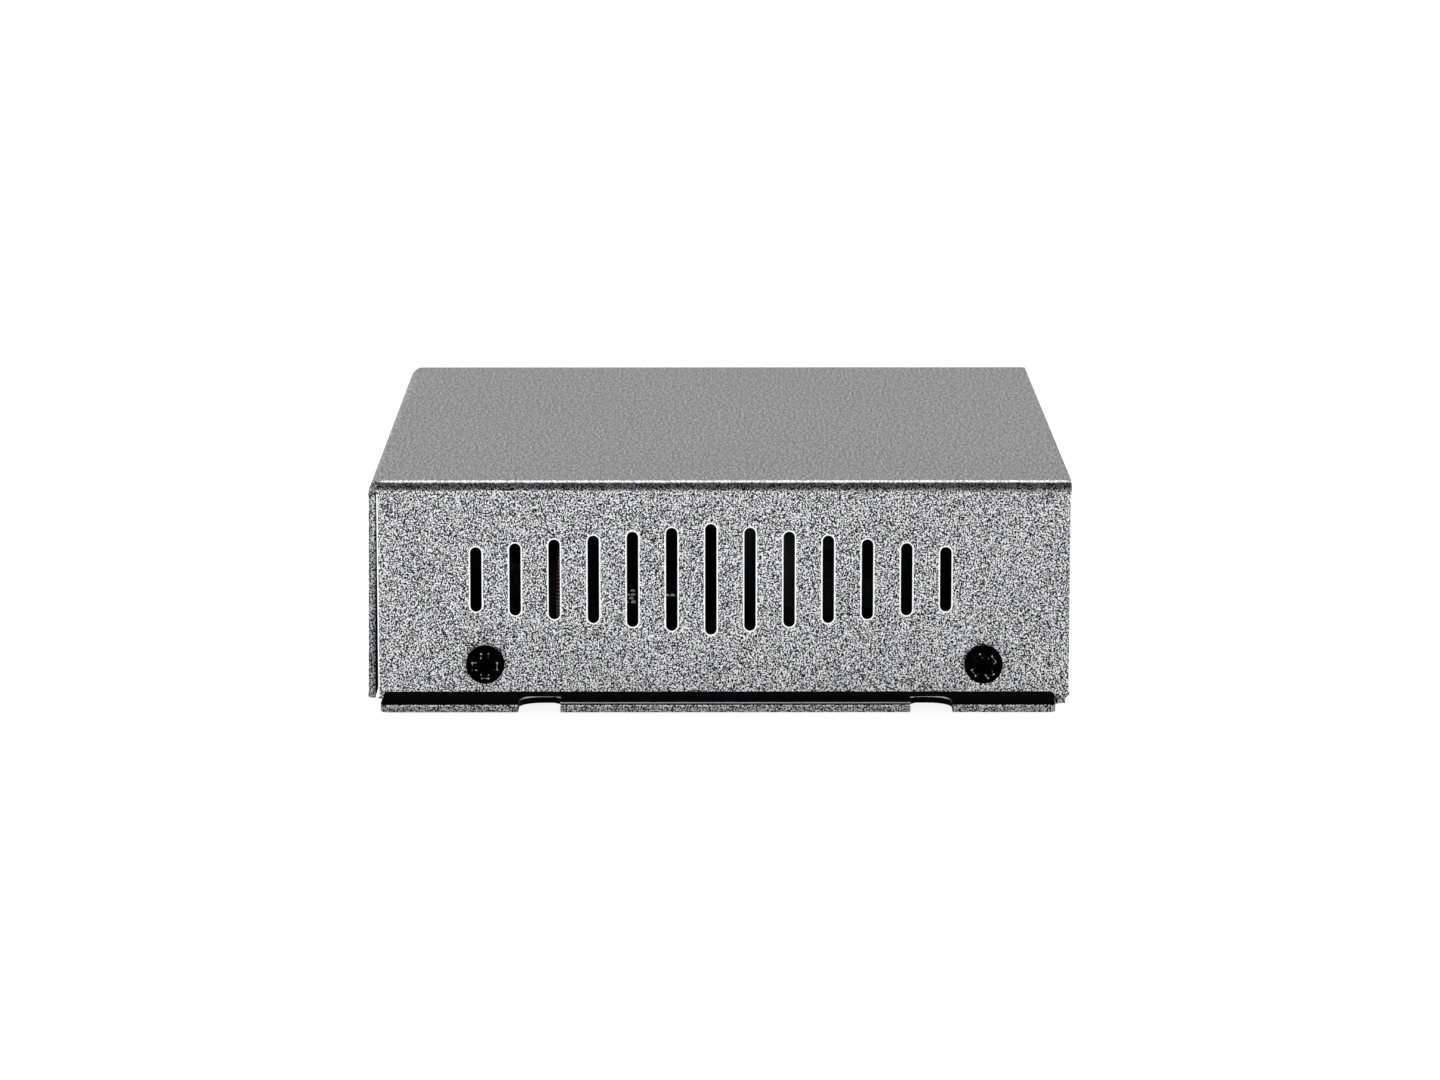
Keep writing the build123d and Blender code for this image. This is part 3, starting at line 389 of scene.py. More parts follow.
# Near-white copper on each wire's outer facet: painted glint
COPPER_GLINT = toned(
    "copper_painted_glint", (1.0, 0.86, 0.80), 0.3, metallic=0.4, scale=1800.0, contrast=0.05
)
SLEEVE = toned("can_sleeve", (0.006, 0.0065, 0.01), 0.3, scale=500.0, shine=0.3)
# Heat sink darkened as painted shade of the case's inside
SHADED_HEAT_SINK = brushed("heat_sink_metal", (0.10, 0.10, 0.105), 0.45)
# Blue box darkened as painted shade of the case's inside
SHADED_BLUE_BOX = toned("blue_dip", (0.004, 0.012, 0.05), 0.45, shine=0.2)
TAN_BODY = toned("tan_body", (0.50, 0.40, 0.28), 0.45)
RESISTOR = toned("black_resistor", grey(0.02), 0.3)
LENS = clear_lens()

NODE_FINISHES = {
    "insulating_sheet": FILM,
    "board_standoffs": NICKEL,
    "circuit_board": SHADED_LACQUER,
    "board_screws": NICKEL,
    "poe_input_contacts": GOLD,
    "data_output_contacts": GOLD,
    "power_output_pin": NICKEL,
    "power_output_spring": NICKEL,
    "transformer_core_halves": FERRITE,
    "transformer_bobbin": MOULDING,
    "transformer_windings": SHADED_TAPE,
    "output_choke_core": FERRITE,
    "input_magnetics": MOULDING,
    "output_magnetics": MOULDING,
    "bridge_rectifiers": MOULDING,
    "surge_suppressor": MOULDING,
    "input_capacitor": SLEEVE,
    "output_capacitors": SLEEVE,
    "power_transistor": MOULDING,
    "diode_heat_sink": SHADED_HEAT_SINK,
    "rectifier_diode": MOULDING,
    "filter_inductor": FERRITE,
    "controller_chips": MOULDING,
    "optocoupler": MOULDING,
    "safety_capacitor": SHADED_BLUE_BOX,
    "chip_resistors": RESISTOR,
    "chip_capacitors": TAN_BODY,
    "led_holders": MOULDING,
    "status_leds": LENS,
}


# Piece helpers

def place_piece(name, mesh, materials, slot, *nodes):
    """A new piece that rides on the part and stands for its CAD nodes."""
    for material in materials:
        mesh.materials.append(material)
    piece = bpy.data.objects.new(name, mesh)
    scene.collection.objects.link(piece)
    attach(piece, "root")
    if nodes:
        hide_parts(*nodes)
    return piece


def mesh_of(name, bm):
    """The mesh of a bmesh, which is freed."""
    mesh = bpy.data.meshes.new(name)
    bm.to_mesh(mesh)
    bm.free()
    return mesh


def finished_mesh(name, bm):
    """The mesh of a bmesh, smooth but for its sharp edges."""
    mesh = mesh_of(name, bm)
    mesh.shade_smooth()
    mesh.set_sharp_from_angle(angle=SMOOTH_ANGLE)
    return mesh


def weighted(piece):
    """Keeps the flat faces of a rounded piece flat in their shading."""
    modifier = piece.modifiers.new("weighted_normals", "WEIGHTED_NORMAL")
    modifier.keep_sharp = True
    return piece


def welded_copy(node):
    """A bmesh copy of a CAD node, with its corners joined."""
    bm = bmesh.new()
    bm.from_mesh(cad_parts[node].data)
    bmesh.ops.remove_doubles(bm, verts=bm.verts, dist=WELD_GAP)
    bm.normal_update()
    return bm


def solid_copy(node):
    """A bmesh copy of a CAD node, with its flat faces joined too."""
    bm = welded_copy(node)
    bmesh.ops.dissolve_limit(bm, angle_limit=FLAT_ANGLE, verts=bm.verts, edges=bm.edges)
    bm.normal_update()
    return bm


def sharp(edge):
    """Whether an edge has a real corner."""
    return len(edge.link_faces) == 2 and edge.calc_face_angle(0.0) > SHARP_ANGLE


def round_edges(bm, edges, width):
    """Rounds some edges and keeps the finish of the faces beside them."""
    bmesh.ops.bevel(
        bm,
        geom=edges,
        offset=width,
        segments=ROUNDING_STEPS,
        profile=0.5,
        affect="EDGES",
        clamp_overlap=False,
        loop_slide=False,
        material=-1,
    )


def softened_piece(node, finish, inner_shade_finish, slot, width):
    """A CAD node with all its corners slightly rounded, and a second finish inside the case, which
    is painted shade for the shields.
    """
    bm = solid_copy(node)
    round_edges(bm, [edge for edge in bm.edges if sharp(edge)], width)
    for face in bm.faces:
        face.material_index = 0 if face.calc_center_median().y > PANEL_INSIDE_Y else 1
    name = node + "_detail"
    return weighted(place_piece(name, finished_mesh(name, bm), [finish, inner_shade_finish], slot, node))


def add_band(bm, low, high):
    """The faces between two closed rings of vertices, either of which may be a single one."""
    faces = []
    steps = max(len(low), len(high))
    for step in range(steps):
        after = (step + 1) % steps
        lower = [low[step % len(low)], low[after % len(low)]]
        upper = [high[after % len(high)], high[step % len(high)]]
        faces.append(bm.faces.new(list(dict.fromkeys(lower + upper))))
    return faces


def add_tapered_box(bm, x, y, low, high):
    """A box between two level rectangles given as (half width, half depth, height)."""
    ends = []
    for half_x, half_y, z in (low, high):
        signs = ((-1, -1), (1, -1), (1, 1), (-1, 1))
        ends.append([bm.verts.new((x + i * half_x, y + j * half_y, z)) for i, j in signs])
    bm.faces.new(ends[0][::-1])
    bm.faces.new(ends[1])
    add_band(bm, *ends)
    return ends[0] + ends[1]


def add_ribbon(bm, edge, face):
    """A thin strip that lies on a face along one of its edges, as its new face."""
    loop = next(loop for loop in face.loops if loop.edge == edge)
    start, end = loop.vert.co, loop.link_loop_next.vert.co
    inward = face.normal.cross(end - start).normalized() * RIM_WIDTH
    lift = face.normal * RIM_RISE
    corners = [start + lift, end + lift, end + lift + inward, start + lift + inward]
    return bm.faces.new([bm.verts.new(corner) for corner in corners])


# Cover

def inside_cover(face):
    """Whether a face of the cover looks into the case."""
    if face.normal.y > FACING and face.calc_center_median().y < FLANGE_BACK_Y:
        return True
    return all(
        abs(vertex.co.x) < COVER_INSIDE_X + NEAR
        and vertex.co.z < COVER_TOP - SHEET + NEAR
        and vertex.co.y > FRONT_Y + SHEET - NEAR
        for vertex in face.verts
    )


def cover_piece():
    """The cover, with painted shade on its faces inside."""
    bm = welded_copy("top_cover")
    for face in bm.faces:
        face.material_index = 1 if inside_cover(face) else 0
    mesh = finished_mesh("top_cover_detail", bm)
    finishes = [PAINT, INNER_SHADE]
    return weighted(place_piece("top_cover_detail", mesh, finishes, "case_paint", "top_cover"))


def side_end_edge(edge):
    """Whether an edge is an upright front or rear end of the cover's outer side."""
    first, second = (vertex.co for vertex in edge.verts)
    upright = abs(first.x - second.x) < NEAR and abs(first.y - second.y) < NEAR
    at_end = abs(first.y) > END_ZONE_Y and abs(first.x) > COVER_OUTSIDE_X - NEAR
    return upright and at_end and abs(first.z - second.z) > LONG_EDGE


def flange_front_edge(edge):
    """Whether an edge is the long front one at an end of the leaning front flange."""
    first, second = (vertex.co for vertex in edge.verts)
    in_front = first.y < FLANGE_BACK_Y and second.y < FLANGE_BACK_Y
    long = abs(first.x - second.x) < NEAR and abs(first.z - second.z) > LONG_EDGE
    return long and in_front and any(face.normal.y < -LEANING for face in edge.link_faces)


def side_low_edge(edge):
    """Whether an edge is a lower one of the cover's outer sides."""
    return all(
        vertex.co.z < COVER_LOW.z + NEAR and abs(vertex.co.x) > COVER_OUTSIDE_X - NEAR
        for vertex in edge.verts
    )


def facing_out(edge):
    """The face beside an edge that looks out to the left or right of the case."""
    faces = [face for face in edge.link_faces if abs(face.normal.x) > FACING]
    outward = [face for face in faces if face.normal.x * edge.verts[0].co.x > 0]
    return outward[0] if outward else None


def slot_outlines():
    """The middle Y, low end and high end of each vent slot, from the cover's mesh."""
    bm = solid_copy("top_cover")
    outlines = {}
    for edge in bm.edges:
        first, second = (vertex.co for vertex in edge.verts)
        on_side = min(first.x, second.x) > COVER_OUTSIDE_X - NEAR
        upright = abs(first.y - second.y) < NEAR and abs(first.z - second.z) > SLOT_WIDTH
        if on_side and upright and abs(first.y) < END_ZONE_Y and sharp(edge):
            index = round((first.y - SLOT_FIRST_Y) / SLOT_PITCH)
            middle = SLOT_FIRST_Y + index * SLOT_PITCH
            low, high = min(first.z, second.z), max(first.z, second.z)
            outlines[index] = (middle, low - SLOT_END_CUT, high + SLOT_END_CUT)
    bm.free()
    return list(outlines.values())


def stadium(y, low, high, half):
    """Points of a round-ended slot outline of some half width, from one side of its low end."""
    points = []
    for middle, start in ((low + SLOT_WIDTH / 2, 180), (high - SLOT_WIDTH / 2, 0)):
        for step in range(SLOT_END_STEPS + 1):
            angle = math.radians(start + 180 * step / SLOT_END_STEPS)
            points.append((y + half * math.cos(angle), middle + half * math.sin(angle)))
    return points


def add_slot_rim(bm, outline, side):
    """A slot's rim and lip on the side in painted highlight, and its round-ended wall through the
    sheet in painted shade past the lip.
    """
    inner = SLOT_WIDTH / 2 - RIM_RISE
    outer = SLOT_WIDTH / 2 + SLOT_RIM_WIDTH
    loops = []
    for half, depth in ((outer, -RIM_RISE), (inner, -RIM_RISE), (inner, SLOT_LIP), (inner, SHEET)):
        x = side * (COVER_OUTSIDE_X - depth)
        loops.append([bm.verts.new((x, y, z)) for y, z in stadium(*outline, half)])
    for index, (low, high) in enumerate(zip(loops, loops[1:])):
        for face in add_band(bm, low, high):
            # Rim and lip: painted highlight; the wall past the lip: painted shade
            face.material_index = 1 if index == 2 else 0
            if side < 0:
                face.normal_flip()


def add_fold_highlight(bm, side):
    """A painted highlight along the start of the long fold."""
    centre_x = COVER_OUTSIDE_X - FOLD_RADIUS
    centre_z = COVER_TOP - FOLD_RADIUS
    radius = FOLD_RADIUS + RIM_RISE
    rows = []
    for angle in FOLD_HIGHLIGHT_ANGLES:
        x = side * (centre_x + radius * math.sin(math.radians(angle)))
        z = min(COVER_TOP, centre_z + radius * math.cos(math.radians(angle)))
        rows.append([bm.verts.new((x, y, z)) for y in FOLD_HIGHLIGHT_YS])
    for low, high in zip(rows, rows[1:]):
        bm.faces.new([low[0], high[0], high[1], low[1]])


def cover_highlights_piece():
    """The cover's lines: painted highlight at slots, ends and long folds, painted shade at the
    lower edges.
    """
    bm = bmesh.new()
    for side in (-1, 1):
        for outline in slot_outlines():
            add_slot_rim(bm, outline, side)
        add_fold_highlight(bm, side)
    cover = solid_copy("top_cover")
    for edge in cover.edges:
        face = facing_out(edge)
        # Painted highlight along the side ends and the flange's front edges
        if face and sharp(edge) and (side_end_edge(edge) or flange_front_edge(edge)):
            add_ribbon(bm, edge, face)
        # Painted shade along the sides' lower edges, in the darker base paint
        if face and side_low_edge(edge):
            add_ribbon(bm, edge, face).material_index = 2
    cover.free()
    mesh = finished_mesh("cover_highlights", bm)
    return place_piece("cover_highlights", mesh, [RIM_HIGHLIGHT, INNER_SHADE, BASE_PAINT], "case_paint")


# Base

def notch_edge(edge):
    """Whether an edge bounds a notch in the base's long edges, away from the outline."""
    return sharp(edge) and all(
        PLATE_TOP - NEAR < vertex.co.z < PLATE_TOP + NEAR
        and NOTCH_SEAT_X - NEAR < abs(vertex.co.x) < BASE_HIGH.x - SHEET / 2
        and abs(vertex.co.y) < NOTCH_ZONE_Y
        for vertex in edge.verts
    )


def strip_edge(edge):
    """Whether an edge is the upper one of the base's long outer edges."""
    return all(
        abs(vertex.co.z - PLATE_TOP) < NEAR and abs(vertex.co.x) > BASE_HIGH.x - NEAR
        for vertex in edge.verts
    )


def base_highlights_piece():
    """Painted highlights of the base: the notches' edges and the upper long edges."""
    base = solid_copy("base_pan")
    bm = bmesh.new()
    for edge in base.edges:
        if not (notch_edge(edge) or strip_edge(edge)):
            continue
        for face in edge.link_faces:
            if abs(face.normal.z) < BESIDE:
                # Painted highlight: notch edges in rim white, the strip's top edge in the lighter
                # case paint
                add_ribbon(bm, edge, face).material_index = 1 if strip_edge(edge) else 0
    base.free()
    mesh = finished_mesh("base_highlights", bm)
    return place_piece("base_highlights", mesh, [RIM_HIGHLIGHT, PAINT], "base_paint")


def on_base_skin(vertex):
    """Whether a vertex lies on the outside of the base."""
    place = vertex.co
    rim = place.z < PLATE_TOP + NEAR and abs(place.x) > COVER_OUTSIDE_X - SHEET / 2
    return place.z < BASE_LOW.z + NEAR or rim or place.y > BASE_HIGH.y - NEAR


def inside_base(face):
    """Whether a face of the base looks into the case, into the shadow gap or into a notch."""
    middle = face.calc_center_median()
    in_notch = abs(face.normal.z) < BESIDE and BASE_LOW.z + NEAR < middle.z < PLATE_TOP
    if in_notch and abs(middle.x) < BASE_HIGH.x - NEAR and abs(middle.y) < NOTCH_ZONE_Y:
        return True
    return all(
        vertex.co.z > PLATE_TOP - NEAR and vertex.co.y < PANEL_INSIDE_Y + NEAR
        for vertex in face.verts
    )


def base_piece():
    """The base, with rounded outer edges and painted shade inside, in the shadow gap and in the
    notches.
    """
    bm = solid_copy("base_pan")
    for face in bm.faces:
        face.material_index = 1 if inside_base(face) else 0
    edges = [edge for edge in bm.edges if sharp(edge) and all(map(on_base_skin, edge.verts))]
    round_edges(bm, edges, EDGE_ROUNDING)
    mesh = finished_mesh("base_pan_detail", bm)
    finishes = [BASE_PAINT, INNER_SHADE]
    return weighted(place_piece("base_pan_detail", mesh, finishes, "base_paint", "base_pan"))


# Screws

SCREW_LOW, SCREW_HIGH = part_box("cover_screws")
SCREW_RADIUS = (SCREW_HIGH.z - SCREW_LOW.z) / 2
SCREW_AXIS_Z = (SCREW_HIGH.z + SCREW_LOW.z) / 2
SCREW_HEAD = SCREW_HIGH.x - COVER_OUTSIDE_X - RIM_RISE
SCREW_SHANK_RADIUS = 1.05 * MM
SCREW_SHANK_LENGTH = 4.0 * MM
SCREW_YS = (SCREW_LOW.y + SCREW_RADIUS, SCREW_HIGH.y - SCREW_RADIUS)
SCREW_TURNS = (0.0, 35.0)
HEAD_RIM_HEIGHT = 0.42 * SCREW_HEAD
HEAD_ROUNDING = 0.08 * MM
CROWN_POWER = 0.55
CROWN_STEPS = 8
ROUND_STEPS = 48

# Cross recess: sizes, shares of its reach at some heights, and how its arms widen with the share
RECESS_SPAN = 3.3 * MM
RECESS_WIDTH = 0.85 * MM
RECESS_DEPTH = 1.15 * MM
RECESS_FLOOR = 0.45
RECESS_MOUTH = 0.94
RECESS_CORE = 0.7
RECESS_FLARE = 0.3
RECESS_RIM = 0.14 * MM
CUTTER_RISE = 0.5 * MM
CUTTER_TOP = 1.15


def lathe(profile, steps):
    """A bmesh turned round Z from (radius, height) points that start and end on the axis."""
    bm = bmesh.new()
    angles = [2 * math.pi * step / steps for step in range(steps)]
    rings = []
    for radius, height in profile:
        places = [(radius * math.cos(angle), radius * math.sin(angle)) for angle in angles]
        if radius < NEAR:
            places = [(0.0, 0.0)]
        rings.append([bm.verts.new((*place, height)) for place in places])
    for low, high in zip(rings, rings[1:]):
        add_band(bm, low, high)
    bmesh.ops.recalc_face_normals(bm, faces=bm.faces)
    return bm


def pan_profile():
    """A pan head on its shank: straight rim, round shoulder and a nearly flat crown."""
    points = [
        (0.0, -SCREW_SHANK_LENGTH),
        (SCREW_SHANK_RADIUS, -SCREW_SHANK_LENGTH),
        (SCREW_SHANK_RADIUS, 0.0),
        (SCREW_RADIUS - HEAD_ROUNDING, 0.0),
        (SCREW_RADIUS, HEAD_ROUNDING),
        (SCREW_RADIUS, HEAD_RIM_HEIGHT),
    ]
    shoulder = SCREW_HEAD - HEAD_RIM_HEIGHT
    for step in range(1, CROWN_STEPS + 1):
        angle = math.radians(90 * step / CROWN_STEPS)
        radius = SCREW_RADIUS * math.cos(angle) ** CROWN_POWER if step < CROWN_STEPS else 0.0
        points.append((radius, HEAD_RIM_HEIGHT + shoulder * math.sin(angle)))
    return points


def crown_height(radius):
    """The height of a pan head's crown at some radius."""
    cosine = (radius / SCREW_RADIUS) ** (1 / CROWN_POWER)
    return HEAD_RIM_HEIGHT + (SCREW_HEAD - HEAD_RIM_HEIGHT) * math.sqrt(1 - cosine * cosine)


def recess_arm(share):
    """Half the span and half the width of the cross at some share of its reach."""
    return RECESS_SPAN / 2 * share, RECESS_WIDTH / 2 * (RECESS_CORE + RECESS_FLARE * share)


def recess_rim(turn):
    """The mesh of thin strips of painted glint round a screw's cross."""
    bm = bmesh.new()
    reach, half = recess_arm(RECESS_MOUTH)
    wide = half + RECESS_RIM
    long = reach + RECESS_RIM
    start = (half + reach) / 2
    inner = [(start, half), (reach, half), (reach, -half), (start, -half)]
    outer = [(start, wide), (long, wide), (long, -wide), (start, -wide)]
    for quarter in range(4):
        rotation = Matrix.Rotation(math.radians(90 * quarter + turn), 2)
        rows = []
        for point in inner + outer:
            place = rotation @ Vector(point)
            rows.append(bm.verts.new((*place, crown_height(place.length) + RIM_RISE)))
        count = len(inner)
        for step in range(count - 1):
            bm.faces.new([rows[step], rows[step + 1], rows[count + step + 1], rows[count + step]])
    for face in bm.faces:
        face.material_index = 1
    bmesh.ops.recalc_face_normals(bm, faces=bm.faces)
    return mesh_of("screw_glint_rim", bm)


def cross_cutter(turn):
    """The tapered cross that makes a screw's recess."""
    bm = bmesh.new()
    low = (*recess_arm(RECESS_FLOOR), SCREW_HEAD - RECESS_DEPTH)
    high = (*recess_arm(CUTTER_TOP), SCREW_HEAD + CUTTER_RISE)
    for quarter in (0, 90):
        fresh = add_tapered_box(bm, 0.0, 0.0, low, high)
        rotation = Matrix.Rotation(math.radians(quarter + turn), 4, "Z")
        bmesh.ops.transform(bm, matrix=rotation, verts=fresh)
    return bm


def carved(name, bm, cutter):
    """The mesh of one bmesh less another."""
    objects = []
    for label, source in ((name, bm), (name + "_cutter", cutter)):
        item = bpy.data.objects.new(label, mesh_of(label, source))
        scene.collection.objects.link(item)
        objects.append(item)
    body, tool = objects
    modifier = body.modifiers.new("recess", "BOOLEAN")
    modifier.object = tool
    modifier.operation = "DIFFERENCE"
    modifier.solver = "EXACT"
    modifier.use_self = True
    graph = bpy.context.evaluated_depsgraph_get()
    mesh = bpy.data.meshes.new_from_object(body.evaluated_get(graph))
    for item in objects:
        bpy.data.objects.remove(item)
    return mesh


def screws_piece():
    """All four cover screws as one piece."""
    joined = bmesh.new()
    lying = Matrix.Rotation(math.radians(90), 4, "Y")
    for y, turn in zip(SCREW_YS, SCREW_TURNS):
        body = carved("cover_screw", lathe(pan_profile(), ROUND_STEPS), cross_cutter(turn))
        rim = recess_rim(turn)
        for side, facing in ((1, 0), (-1, 180)):
            stand = Matrix.Rotation(math.radians(facing), 4, "Z") @ lying
            move = Matrix.Translation((side * COVER_OUTSIDE_X, y, SCREW_AXIS_Z))
            for source in (body, rim):
                copy = source.copy()
                copy.transform(move @ stand)
                joined.from_mesh(copy)
    mesh = finished_mesh("cover_screws_detail", joined)
    finishes = [BLACK_SCREW, SCREW_GLINT]
    return place_piece("cover_screws_detail", mesh, finishes, "black_screw", "cover_screws")


# Choke

CHOKE_LOW, CHOKE_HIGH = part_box("output_choke_winding")
CHOKE_CENTRE = (CHOKE_LOW + CHOKE_HIGH) / 2
CHOKE_RADIUS = (CHOKE_HIGH.z - CHOKE_LOW.z) / 2
CHOKE_HOLE_RADIUS = 2.3 * MM
CHOKE_TURNS = 80
INNER_LAYERS = 3
WIRE_RADIUS = 0.23 * MM
WIRE_SIDES = 6
WIRE_CORNER = 0.25 * MM
WIRE_CORNER_ANGLES = (0, 30, 60, 90)


def section_path(hole_radius):
    """Points round the ring's section: the radius, the Y and the outward angle of each."""
    half = (CHOKE_HIGH.y - CHOKE_LOW.y) / 2 - WIRE_RADIUS
    outer = CHOKE_RADIUS - WIRE_RADIUS
    inner = hole_radius + WIRE_RADIUS
    path = []
    for middle_r, middle_y, start in (
        (outer - WIRE_CORNER, half - WIRE_CORNER, 0),
        (inner + WIRE_CORNER, half - WIRE_CORNER, 90),
        (inner + WIRE_CORNER, WIRE_CORNER - half, 180),
        (outer - WIRE_CORNER, WIRE_CORNER - half, 270),
    ):
        for step in WIRE_CORNER_ANGLES:
            turn = math.radians(start + step)
            radius = middle_r + WIRE_CORNER * math.cos(turn)
            path.append(Vector((radius, middle_y + WIRE_CORNER * math.sin(turn), turn)))
    return path


def wire_ring(bm, place, angle):
    """The vertices round the wire at one point of its section path."""
    outward = Vector((math.cos(place.z), math.sin(place.z)))
    ring = []
    for side in range(WIRE_SIDES):
        spin = 2 * math.pi * side / WIRE_SIDES
        rise = WIRE_RADIUS * math.cos(spin)
        sideways = WIRE_RADIUS * math.sin(spin)
        radius = place.x + rise * outward.x
        x = radius * math.cos(angle) - sideways * math.sin(angle)
        z = radius * math.sin(angle) + sideways * math.cos(angle)
        ring.append(bm.verts.new(CHOKE_CENTRE + Vector((x, place.y + rise * outward.y, z))))
    return ring


def wire_loop(bm, angle, hole_radius):
    """One turn of wire round the ring's section, as a closed tube with a painted glint on its
    outer side.
    """
    rings = [wire_ring(bm, place, angle) for place in section_path(hole_radius)]
    for ring, following in zip(rings, rings[1:] + rings[:1]):
        for side, face in enumerate(add_band(bm, ring, following)):
            face.material_index = 1 if side == 0 else 0


def choke_piece():
    """The choke's turns of copper wire, in layers inside the ring."""
    bm = bmesh.new()
    for turn in range(CHOKE_TURNS):
        hole_radius = CHOKE_HOLE_RADIUS + (turn % INNER_LAYERS) * WIRE_RADIUS
        wire_loop(bm, 2 * math.pi * (turn + 0.5) / CHOKE_TURNS, hole_radius)
    bmesh.ops.recalc_face_normals(bm, faces=bm.faces)
    mesh = finished_mesh("output_choke_turns", bm)
    finishes = [COPPER, COPPER_GLINT]
    return place_piece("output_choke_turns", mesh, finishes, "copper_wire", "output_choke_winding")


# Solder joints, with their places in millimetres

JOINT_WIDTH = 0.35 * MM
JOINT_DEPTH = 0.75 * MM
JOINT_HEIGHT = 0.3 * MM
JOINT_TOP_SHARE = 0.6
BOARD_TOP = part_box("circuit_board")[1].z
TAB_TOP = 8.2 * MM
BOARD_JOINTS = (
    (8.1, -11.6), (10.9, -11.5), (13.6, -11.7), (16.4, -11.4), (10.9, -12.3), (16.4, -12.4),
)
TAB_JOINTS = ((12.6, -6.5), (14.6, -6.1), (14.6, -6.9))


def joints_piece():
    """Tinned joints and leads that catch a little light through the middle slots."""
    bm = bmesh.new()
    half_x, half_y = JOINT_WIDTH / 2, JOINT_DEPTH / 2
    for places, z in ((BOARD_JOINTS, BOARD_TOP), (TAB_JOINTS, TAB_TOP)):
        low = (half_x, half_y, z)
        high = (half_x * JOINT_TOP_SHARE, half_y * JOINT_TOP_SHARE, z + JOINT_HEIGHT)
        for x, y in places:
            add_tapered_box(bm, x * MM, y * MM, low, high)
    mesh = finished_mesh("solder_joints", bm)
    return place_piece("solder_joints", mesh, [TIN], "nickel_plate")


# Stage, light and camera

FLOOR_SIZE = 6.0
FLOOR_DROP = 0.01 * MM
FLOOR_MOTTLE = 12.0
FLOOR_LOW = 0.86
FLOOR_HIGH = 0.88
FLOOR_GLOW = 0.86
SKY_BRIGHT = 0.93
SKY_DARK = 0.06
SKY_BRIGHT_END = 0.3
SKY_DARK_END = 0.75
SKY_TILT = 0.35
LIGHT_AIM = Vector((0.0, 0.0, 0.015))


def ray_kind(tree, *kinds):
    """1 for the named kinds of ray."""
    path = tree.nodes.new("ShaderNodeLightPath")
    total = path.outputs[kinds[0]]
    for kind in kinds[1:]:
        total = add_math(tree, "MAXIMUM", total, path.outputs[kind])
    return total


def join_shaders(tree, node, first, second, output):
    """Ends a tree with two shaders that a node joins at its last two inputs."""
    tree.links.new(first.outputs[0], node.inputs[-2])
    tree.links.new(second.outputs[0], node.inputs[-1])
    tree.links.new(node.outputs[0], tree.nodes.new(output).inputs["Surface"])


def floor_white():
    """Matte white that takes a shadow, with a glow for the rays that show it."""
    material = bpy.data.materials.new("floor_white")
    tree = empty_tree(material)
    diffuse = tree.nodes.new("ShaderNodeBsdfDiffuse")
    mottle = add_noise(tree, FLOOR_MOTTLE)
    tone = add_tones(tree, mottle, grey(FLOOR_LOW), grey(FLOOR_HIGH), (0.0, 1.0))
    tree.links.new(tone, diffuse.inputs["Color"])
    glow = tree.nodes.new("ShaderNodeEmission")
    seen = ray_kind(tree, "Is Camera Ray", "Is Glossy Ray", "Is Transmission Ray")
    tree.links.new(add_math(tree, "MULTIPLY", seen, FLOOR_GLOW), glow.inputs["Strength"])
    both = tree.nodes.new("ShaderNodeAddShader")
    join_shaders(tree, both, diffuse, glow, "ShaderNodeOutputMaterial")
    return material


def white_floor():
    """A white floor that still takes the part's soft shadow."""
    mesh = bpy.data.meshes.new("floor")
    half = FLOOR_SIZE / 2
    corners = [(-half, -half, 0), (half, -half, 0), (half, half, 0), (-half, half, 0)]
    mesh.from_pydata(corners, [], [(0, 1, 2, 3)])
    mesh.materials.append(floor_white())
    floor = bpy.data.objects.new("floor", mesh)
    floor.location.z = -FLOOR_DROP
    scene.collection.objects.link(floor)


def sky_strength(tree):
    """The sky's strength: bright low down behind the part, dark above it."""
    direction = add_parts(tree, tree.nodes.new("ShaderNodeTexCoord").outputs["Generated"])
    rise = add_math(tree, "MULTIPLY_ADD", direction["X"], SKY_TILT, direction["Z"])
    fall = tree.nodes.new("ShaderNodeMapRange")
    fall.interpolation_type = "SMOOTHSTEP"
    fall.inputs["From Min"].default_value = SKY_BRIGHT_END
    fall.inputs["From Max"].default_value = SKY_DARK_END
    fall.inputs["To Min"].default_value = SKY_BRIGHT
    fall.inputs["To Max"].default_value = SKY_DARK
    tree.links.new(rise, fall.inputs["Value"])
    return fall.outputs["Result"]


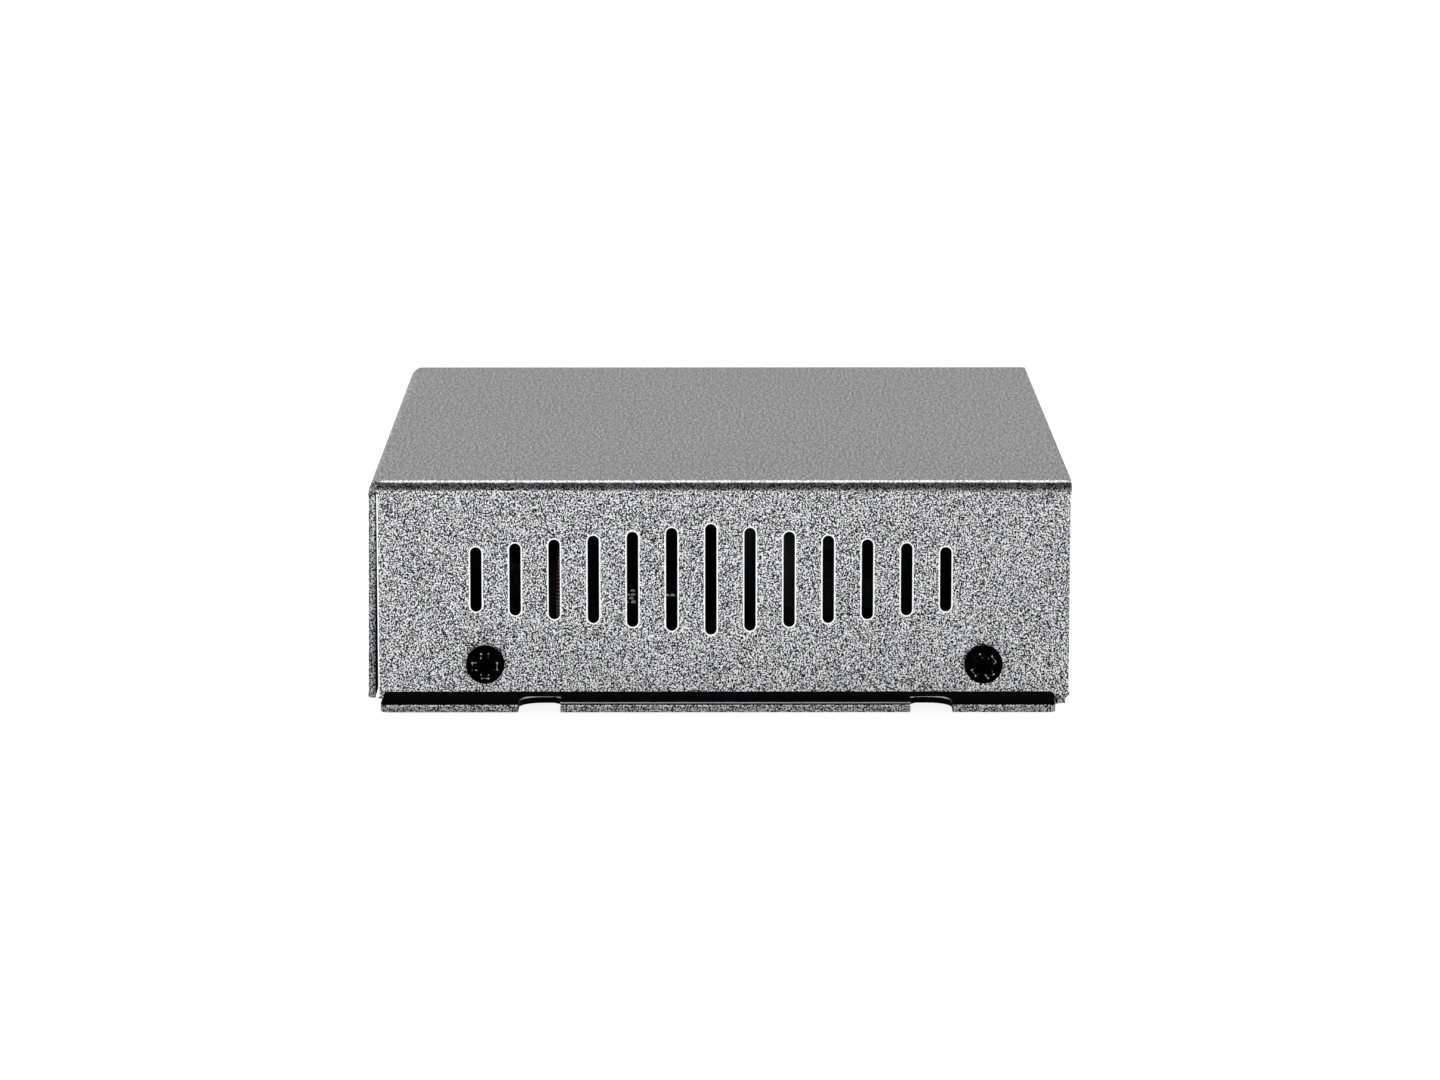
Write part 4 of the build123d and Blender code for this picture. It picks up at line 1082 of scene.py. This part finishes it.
def soft_sky():
    """A white background for the camera, and a graded sky for all other rays."""
    scene.world = bpy.data.worlds.new("studio")
    tree = empty_tree(scene.world)
    light = tree.nodes.new("ShaderNodeBackground")
    tree.links.new(sky_strength(tree), light.inputs["Strength"])
    seen = tree.nodes.new("ShaderNodeBackground")
    choice = tree.nodes.new("ShaderNodeMixShader")
    tree.links.new(ray_kind(tree, "Is Camera Ray"), choice.inputs[0])
    join_shaders(tree, choice, light, seen, "ShaderNodeOutputWorld")


def softbox(name, place, width, height, power):
    """A rectangular area light that looks at the part."""
    data = bpy.data.lights.new(name, "AREA")
    data.shape = "RECTANGLE"
    data.size = width
    data.size_y = height
    data.energy = power
    lamp = bpy.data.objects.new(name, data)
    lamp.location = place
    lamp.rotation_euler = (LIGHT_AIM - Vector(place)).to_track_quat("-Z", "Y").to_euler()
    scene.collection.objects.link(lamp)


def add_camera():
    """The photograph's camera."""
    data = bpy.data.cameras.new("camera")
    data.sensor_fit = "HORIZONTAL"
    data.sensor_width = CAMERA_SENSOR
    data.lens = CAMERA_LENS
    data.clip_start, data.clip_end = CAMERA_CLIP
    camera = bpy.data.objects.new("camera", data)
    camera.location = CAMERA_EYE
    camera.rotation_euler = (CAMERA_AIM - CAMERA_EYE).to_track_quat("-Z", "Y").to_euler()
    scene.collection.objects.link(camera)
    bpy.context.scene.camera = camera


# Making

scene.view_settings.view_transform = "Standard"
add_camera()
soft_sky()
white_floor()
softbox("front_softbox", (1.2, -0.14, 0.33), width=0.34, height=0.34, power=2.0)
softbox("rear_strip", (-0.5, 0.0, 0.69), width=1.8, height=0.1, power=3.5)

for node, finish in NODE_FINISHES.items():
    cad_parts[node].data.materials.clear()
    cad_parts[node].data.materials.append(finish)

cover_piece()
cover_highlights_piece()
base_piece()
base_highlights_piece()
screws_piece()
choke_piece()
joints_piece()
for node in ("poe_input_shield", "data_output_shield"):
    softened_piece(node, NICKEL, NICKEL_SHADE, "nickel_plate", SHIELD_ROUNDING)
for node in ("poe_input_insert", "data_output_insert", "power_output_housing"):
    softened_piece(node, MOULDING, MOULDING, "black_moulding", EDGE_ROUNDING)
